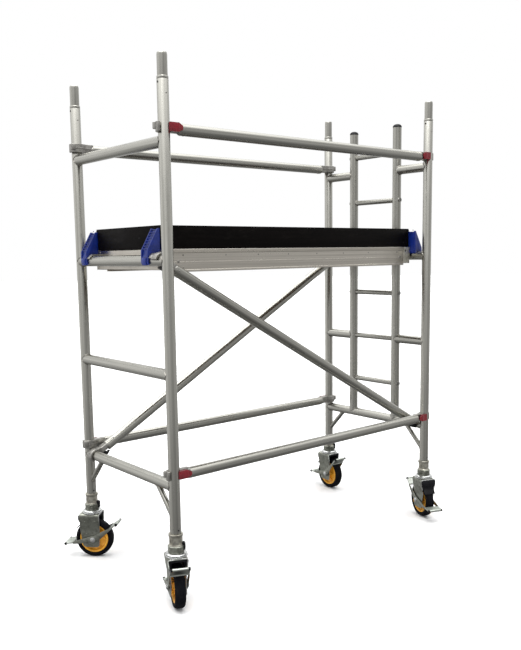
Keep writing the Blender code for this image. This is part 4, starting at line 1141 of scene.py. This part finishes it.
def fork_span(z):
    """How far the fork's plate runs along X at this height."""
    back, front = FORK_X
    if z >= FORK_BEND_Z:
        return back, front
    if z >= FORK_FOOT_Z:
        part = (FORK_BEND_Z - z) / (FORK_BEND_Z - FORK_FOOT_Z)
        return back + 0.012 * part, front - 0.004 * part
    part = (FORK_FOOT_Z - z) / FORK_FOOT_ROUND
    dip = 1 - math.sqrt(max(0.0, 1 - part * part))
    return back + 0.012 + 0.020 * dip, front - 0.004 - 0.016 * dip


def fork_plate():
    """The folded plate: up one cheek, over the crown and down the other, its cut edges in bright zinc as a
    painted highlight.
    """
    head, foot, bend_z, corner_r, ease = FORK_HEAD_Y, FORK_FOOT_Y, FORK_BEND_Z, 0.012, 0.0007
    knee = FORK_TOP - corner_r
    path = [(-foot, z) for z in (0.0580, 0.0600, 0.0640, FORK_FOOT_Z, 0.095, 0.120, bend_z - 0.004)]
    path += [(-cheek_y(bend_z + rise), bend_z + rise) for rise in (0.004, 0.020, 0.040)]
    path += [(-cheek_y(knee - 0.008), knee - 0.008), (-head, knee)]
    for turn in map(math.radians, range(15, 91, 15)):
        path.append((-head + corner_r - corner_r * math.cos(turn), knee + corner_r * math.sin(turn)))
    path += [(-y, z) for y, z in reversed(path)]
    bm = bmesh.new()
    rings = []
    for index, (y, z) in enumerate(path):
        before, after = path[max(index - 1, 0)], path[min(index + 1, len(path) - 1)]
        run = Vector((after[0] - before[0], after[1] - before[1])).normalized()
        low, high = fork_span(z)
        section = ((low + ease, 0), (high - ease, 0), (high, ease), (high, FORK_SHEET - ease),
                   (high - ease, FORK_SHEET), (low + ease, FORK_SHEET), (low, FORK_SHEET - ease), (low, ease))
        rings.append([bm.verts.new((x, y + run.y * depth, z - run.x * depth)) for x, depth in section])
    # The sheet's two faces are zinc; its cut edges and their chamfers are bright zinc, a painted highlight.
    for index, face in enumerate(skin(bm, rings)):
        face.material_index = 0 if index % len(section) in (0, 4) else 1
    for ring in (rings[0], rings[-1]):
        bm.faces.new(ring)
    return stamp(finish_mesh(bm, "fork", 35))


def fork_parts():
    """Fork plate with its axle bolt and pins, the dark brake housing and the mudguard."""
    # The bright zinc on the plate's cut edges is a painted highlight.
    parts = [(fork_plate(), (ZINC, BRIGHT_ZINC))]
    washer = mm((0, 0), (13.5, 0), (14, 0.4), (14, 1.6), (13, 2), (0, 2))
    skirt = mm((-50, 232.5), (-64, 230), (-66.5, 226), (-66.5, 208), (-60, 195), (-56, 193), (-50, 200))
    pad = mm((-50, 232), (-50, 180), (-30, 168), (30, 172), (40, 190), (40, 232))
    for side in (-1, 1):
        outward = Vector((0, side, 0))
        at = Vector((TRAIL, side * (PEDAL_OUT + 0.0004), WHEEL_R))
        parts.append((lathe("washer", washer, 28, axes=axes_along(at, outward)), BRIGHT_ZINC))
        parts.append((hex_head(at + outward * 0.0020, outward, 0.0112, 0.0040), BRIGHT_ZINC))
        parts.append((rod("shank", at - outward * 0.034, at + outward * 0.001, AXLE_R, 20), BRIGHT_ZINC))
        for x, z, radius in ((-0.030, 0.196, 0.0052), (0.024, 0.200, 0.0052), (-0.024, 0.130, 0.0038)):
            parts += rivets([(x, side * (cheek_y(z) - 0.0006), z)], outward, ZINC, radius, 0.0022)
        for name, outline, inner, outer in (("skirt", skirt, 0.0005, 0.0425), ("pad", pad, 0.0290, 0.0355)):
            ends = sorted((side * inner, side * outer))
            parts.append((prism(name, outline, *ends, upright, 0.0014), DARK_STEEL))
    lintel = block("lintel", (0.034, -0.0405, 0.2215), (0.0462, 0.0405, 0.2325), 0.0015, 2)
    parts.append((lintel, DARK_STEEL))
    inner, outer = GUARD_R
    axle = (TRAIL, WHEEL_R)
    guard = arc(inner, 148, 108, 14, axle) + near((0, FORK_TOP), (-50, -6), (-54, -6)) + mm((-57, 195))
    guard += arc(outer, 131, 148, 6, axle)
    parts.append((prism("guard", guard, -GUARD_HALF_WIDTH, GUARD_HALF_WIDTH, upright, 0.0006), DARK_STEEL))
    return parts


def turned_about_y(name, profile, sides, look):
    """A ring profile (radius, y) turned about the axle."""
    mesh = lathe(name, [(radius, -y) for radius, y in profile], sides, ring=True)
    mesh.transform(Matrix.Rotation(math.pi / 2, 4, "X"))
    return mesh, look


def both_faces(profile):
    """A ring profile followed by its mirror image on the other side of the wheel."""
    return profile + [(radius, -y) for radius, y in reversed(profile)]


def wheel_parts():
    """Core: rim with a raised lip, dished web with ribs, hub with bearing covers."""
    face_y = (0, WHEEL_HALF_WIDTH)
    side = near(face_y, (8.2, 4.6), (17, 4.8), (19.6, 3.4))
    side += mm((20.5, 19), (22, 10), (26, 7.5), (56, 6.2), (62, 8), (65, 15))
    side += near(face_y, (66.5, -5), (69, -3.5), (73.5, -3.5), (75.5, -5.2))
    parts = [turned_about_y("core", both_faces(side), 64, CORE)]
    rib = mm((19.5, 4), (19.5, 23), (24, 17), (56, 12), (66, 17.5), (66, 4))
    for index in range(WHEEL_RIBS):
        for face in (-1, 1):
            outline = [(radius, face * y) for radius, y in rib]
            mesh = prism("rib", outline, -0.0022, 0.0022, lambda u, v, w: (u, v, w), 0.0006, 1)
            mesh.transform(Matrix.Rotation(math.tau * index / WHEEL_RIBS, 4, "Y"))
            parts.append((mesh, CORE))
    cover = near(face_y, (8.2, 4), (8.2, 5.8), (15, 5.8), (16.2, 5), (16.2, 4))
    for face in (-1, 1):
        parts.append(turned_about_y("cover", [(radius, face * y) for radius, y in cover], 40, BRIGHT_ZINC))
    return parts


def tyre_parts():
    """A bevelled tyre with a fine groove round each side."""
    face_y = (0, WHEEL_HALF_WIDTH)
    side = near(face_y, (76.3, -5), (80, -1.2), (82.5, -0.2), (85, 0), (85.8, -0.7), (86.6, 0), (90, -0.4))
    side += near(face_y, (94.5, -3), (97.8, -7.5), (99.3, -12.5), (99.9, -17.5)) + mm((100, 4))
    return [turned_about_y("tyre", both_faces(side), 96, RUBBER)]


def pedal_parts(high_angle, low_angle):
    """Rocker: two side arms and a ribbed tread at each end, whose rolled lip has dark plugs in its ends. The
    treads, ribs and lips are a paler zinc than the arms: painted light.
    """
    high, low = math.radians(high_angle), math.radians(low_angle)

    def along(angle, *steps):
        """Outline points at distances along an arm and rises from it, in millimetres."""
        return mm(*((distance * math.cos(angle) - rise * math.sin(angle),
                     distance * math.sin(angle) + rise * math.cos(angle)) for distance, rise in steps))

    arm = along(high, (112, 4), (112, -8), (40, -18)) + arc(0.020, high_angle - 91, -130, 8)
    arm += along(low, (112, 8), (112, -4), (50, -14)) + arc(0.022, 130, high_angle + 44, 8)
    parts = both_sides("arm", arm, PEDAL_IN, PEDAL_OUT, upright, ZINC, 0.0008)
    wide = PEDAL_OUT - 0.0006
    # Treads, ribs and lips in the paler zinc carry painted light.
    for angle, flip in ((high, 1), (low, -1)):
        plate = along(angle, (108, flip * -9), (108, flip * 2.8), (148, flip * 2.8))
        plate += along(angle, (148, flip * -3.5), (112, flip * -5.2))
        parts.append((prism("tread", plate, -wide, wide, upright, 0.0008), LIT_TREAD_ZINC))
        for at in range(114, 139, 6):
            foot, ridge = flip * 1.5, flip * 3.8
            rib = along(angle, (at - 1.3, foot), (at - 0.8, ridge), (at + 0.8, ridge), (at + 1.3, foot))
            parts.append((prism("rib", rib, -wide + 0.008, wide - 0.008, upright, 0.0004, 1), LIT_TREAD_ZINC))
        lip_at = along(angle, (151.5, flip * -1.8))[0]
        lip = arc(0.0072, 0, 345, 23, lip_at)
        parts.append((prism("lip", lip, -wide + 0.0006, wide - 0.0006, upright, 0.0008), LIT_TREAD_ZINC))
        plug = arc(0.0074, 0, 345, 23, lip_at)
        parts += both_sides("plug", plug, wide - 0.010, wide, upright, BLACK, 0.0012, 3)
    return parts


def make_castors():
    """All four castors, from shared parts turned to each corner's headings."""
    centre, axle = Vector((0, 0, 0)), Vector((TRAIL, 0, WHEEL_R))
    stem, fork, core, tyre = stem_parts(), fork_parts(), wheel_parts(), tyre_parts()
    for y, x in CORNERS:
        name = f"castor_{y}_{x}"
        foot = Matrix.Translation(at_height(STANDARDS[f"{y}_{x}"], 0))
        pedal = pedal_parts(*TREAD_ANGLES[f"{y}_{x}"])
        for group, parts, offset, body, slot in (
            ("stem", stem, centre, "tower", "castor_steel"),
            ("fork", fork, centre, f"{name}_swivel", "castor_steel"),
            ("wheel_core", core, axle, f"{name}_wheel", "wheel_core"),
            ("tyre", tyre, axle, f"{name}_wheel", "tyre"),
            ("brake_pedal", pedal, axle, f"{name}_brake", "castor_steel"),
        ):
            heading = (LUG_HEADINGS if group == "stem" else CASTOR_HEADINGS)[f"{y}_{x}"]
            place = foot @ Matrix.Rotation(math.radians(heading), 4, "Z") @ Matrix.Translation(offset)
            here = [(moved(mesh, place), look) for mesh, look in parts]
            piece(f"{name}_{group}_shown", here, body, [f"{name}_{group}"])


# ---------------------------------------------------------------- camera, floor and light

FLOOR_HALF = 60
WALL_R = 50
WALL_HEIGHT = 80
WALL_SUNK = 0.5
# The sky from straight down to straight up.
SKY_STOPS = [(0.0, 0.11), (0.25, 0.26), (0.42, 0.50), (0.5, 0.66), (0.60, 0.66), (0.74, 0.76)]
FRONT_TO_BACK = (0.78, 1.40)
SIDE_TO_TOP = (1.0, 3.4)
LIGHT_SPOT = Vector((-1.2, -1.2, 9.0))
LIGHT_AIM = Vector((0, 0, 1.1))
CAMERA_ANGLES = (39.59, -7.31, -0.90)  # degrees of heading from +Y, tilt and roll
CAMERA_SPOT = (CENTRE_X - 2.713, CENTRE_Y - 3.134, 1.577)


def stage_piece(name, bm, material):
    """An object of the setting, which isn't part of the scaffold."""
    mesh = bpy.data.meshes.new(name)
    bm.to_mesh(mesh)
    bm.free()
    mesh.materials.append(material)
    obj = bpy.data.objects.new(name, mesh)
    bpy.context.scene.collection.objects.link(obj)
    obj.visible_glossy = False
    return obj


def make_stage():
    """A pale floor, and a white paper wall round it that gives no light, shadow or reflections."""
    bm = bmesh.new()
    bmesh.ops.create_grid(bm, x_segments=1, y_segments=1, size=FLOOR_HALF)
    stage_piece("floor", bm, plain_look("floor_paper", (0.93, 0.93, 0.93), 0.85))

    bm = bmesh.new()
    bmesh.ops.create_cone(bm, cap_ends=False, segments=96, radius1=WALL_R, radius2=WALL_R, depth=WALL_HEIGHT)
    bmesh.ops.translate(bm, verts=bm.verts, vec=(0, 0, WALL_HEIGHT / 2 - WALL_SUNK))
    paper = plain_look("wall_paper", (0, 0, 0), 1.0, Specular_IOR_Level=0.0, Emission_Color=(1, 1, 1, 1),
                       Emission_Strength=1.0)
    wall = stage_piece("wall", bm, paper)
    wall.visible_diffuse = wall.visible_shadow = False


def map_range(tree, value, source, target=(0.0, 1.0)):
    """The value mapped from one span to another, and held at its ends."""
    node = tree.nodes.new("ShaderNodeMapRange")
    for label, (low, high) in (("From", source), ("To", target)):
        node.inputs[f"{label} Min"].default_value = low
        node.inputs[f"{label} Max"].default_value = high
    tree.links.new(value, node.inputs["Value"])
    return node.outputs["Result"]


def make_light():
    """Studio light: brightest overhead and at the back, dimmer round the horizon, dark low down."""
    world = bpy.data.worlds.new("studio")
    bpy.context.scene.world = world
    world.use_nodes = True
    tree = world.node_tree
    background = tree.nodes["Background"]
    split = tree.nodes.new("ShaderNodeSeparateXYZ")
    tree.links.new(tree.nodes.new("ShaderNodeTexCoord").outputs["Generated"], split.inputs["Vector"])
    grey = ramp(tree, map_range(tree, split.outputs["Z"], (-1.0, 1.0)), SKY_STOPS)
    strength = tree.nodes.new("ShaderNodeMath")
    strength.operation = "MULTIPLY"
    tree.links.new(map_range(tree, split.outputs["Y"], (-0.8, 0.8), FRONT_TO_BACK), strength.inputs[0])
    tree.links.new(map_range(tree, split.outputs["Z"], (0.55, 0.90), SIDE_TO_TOP), strength.inputs[1])
    tree.links.new(grey, background.inputs["Color"])
    tree.links.new(strength.outputs["Value"], background.inputs["Strength"])

    data = bpy.data.lights.new("overhead", "AREA")
    data.shape = "DISK"
    data.size = 5.0
    data.energy = 330
    light = bpy.data.objects.new("overhead", data)
    light.location = LIGHT_SPOT
    light.rotation_mode = "QUATERNION"
    light.rotation_quaternion = (LIGHT_AIM - LIGHT_SPOT).to_track_quat("-Z", "Y")
    bpy.context.scene.collection.objects.link(light)


def make_camera():
    """The view from the front left: slightly above the base, looking a little down."""
    data = bpy.data.cameras.new("camera")
    camera = bpy.data.objects.new("camera", data)
    bpy.context.scene.collection.objects.link(camera)
    yaw, pitch, roll = (math.radians(angle) for angle in CAMERA_ANGLES)
    forward = Vector((math.sin(yaw) * math.cos(pitch), math.cos(yaw) * math.cos(pitch), math.sin(pitch)))
    level = Vector((math.cos(yaw), -math.sin(yaw), 0))
    above = level.cross(forward)
    right = level * math.cos(roll) + above * math.sin(roll)
    up = above * math.cos(roll) - level * math.sin(roll)
    turn = Matrix((right, up, -forward)).transposed()
    camera.matrix_world = Matrix.Translation(CAMERA_SPOT) @ turn.to_4x4()
    data.sensor_width = 36
    data.lens = 41.95
    data.shift_x = 0.0171
    data.shift_y = 0.0415
    data.clip_start, data.clip_end = 0.05, 200
    bpy.context.scene.camera = camera


# ---------------------------------------------------------------- build

bpy.context.scene.view_settings.view_transform = "Standard"
make_camera()
make_stage()
make_light()
make_standards()
make_ledgers()
make_ladder()
make_caps()
make_braces()
make_platform()
make_deck()
make_hatch()
make_toe_boards()
make_clips()
make_castors()
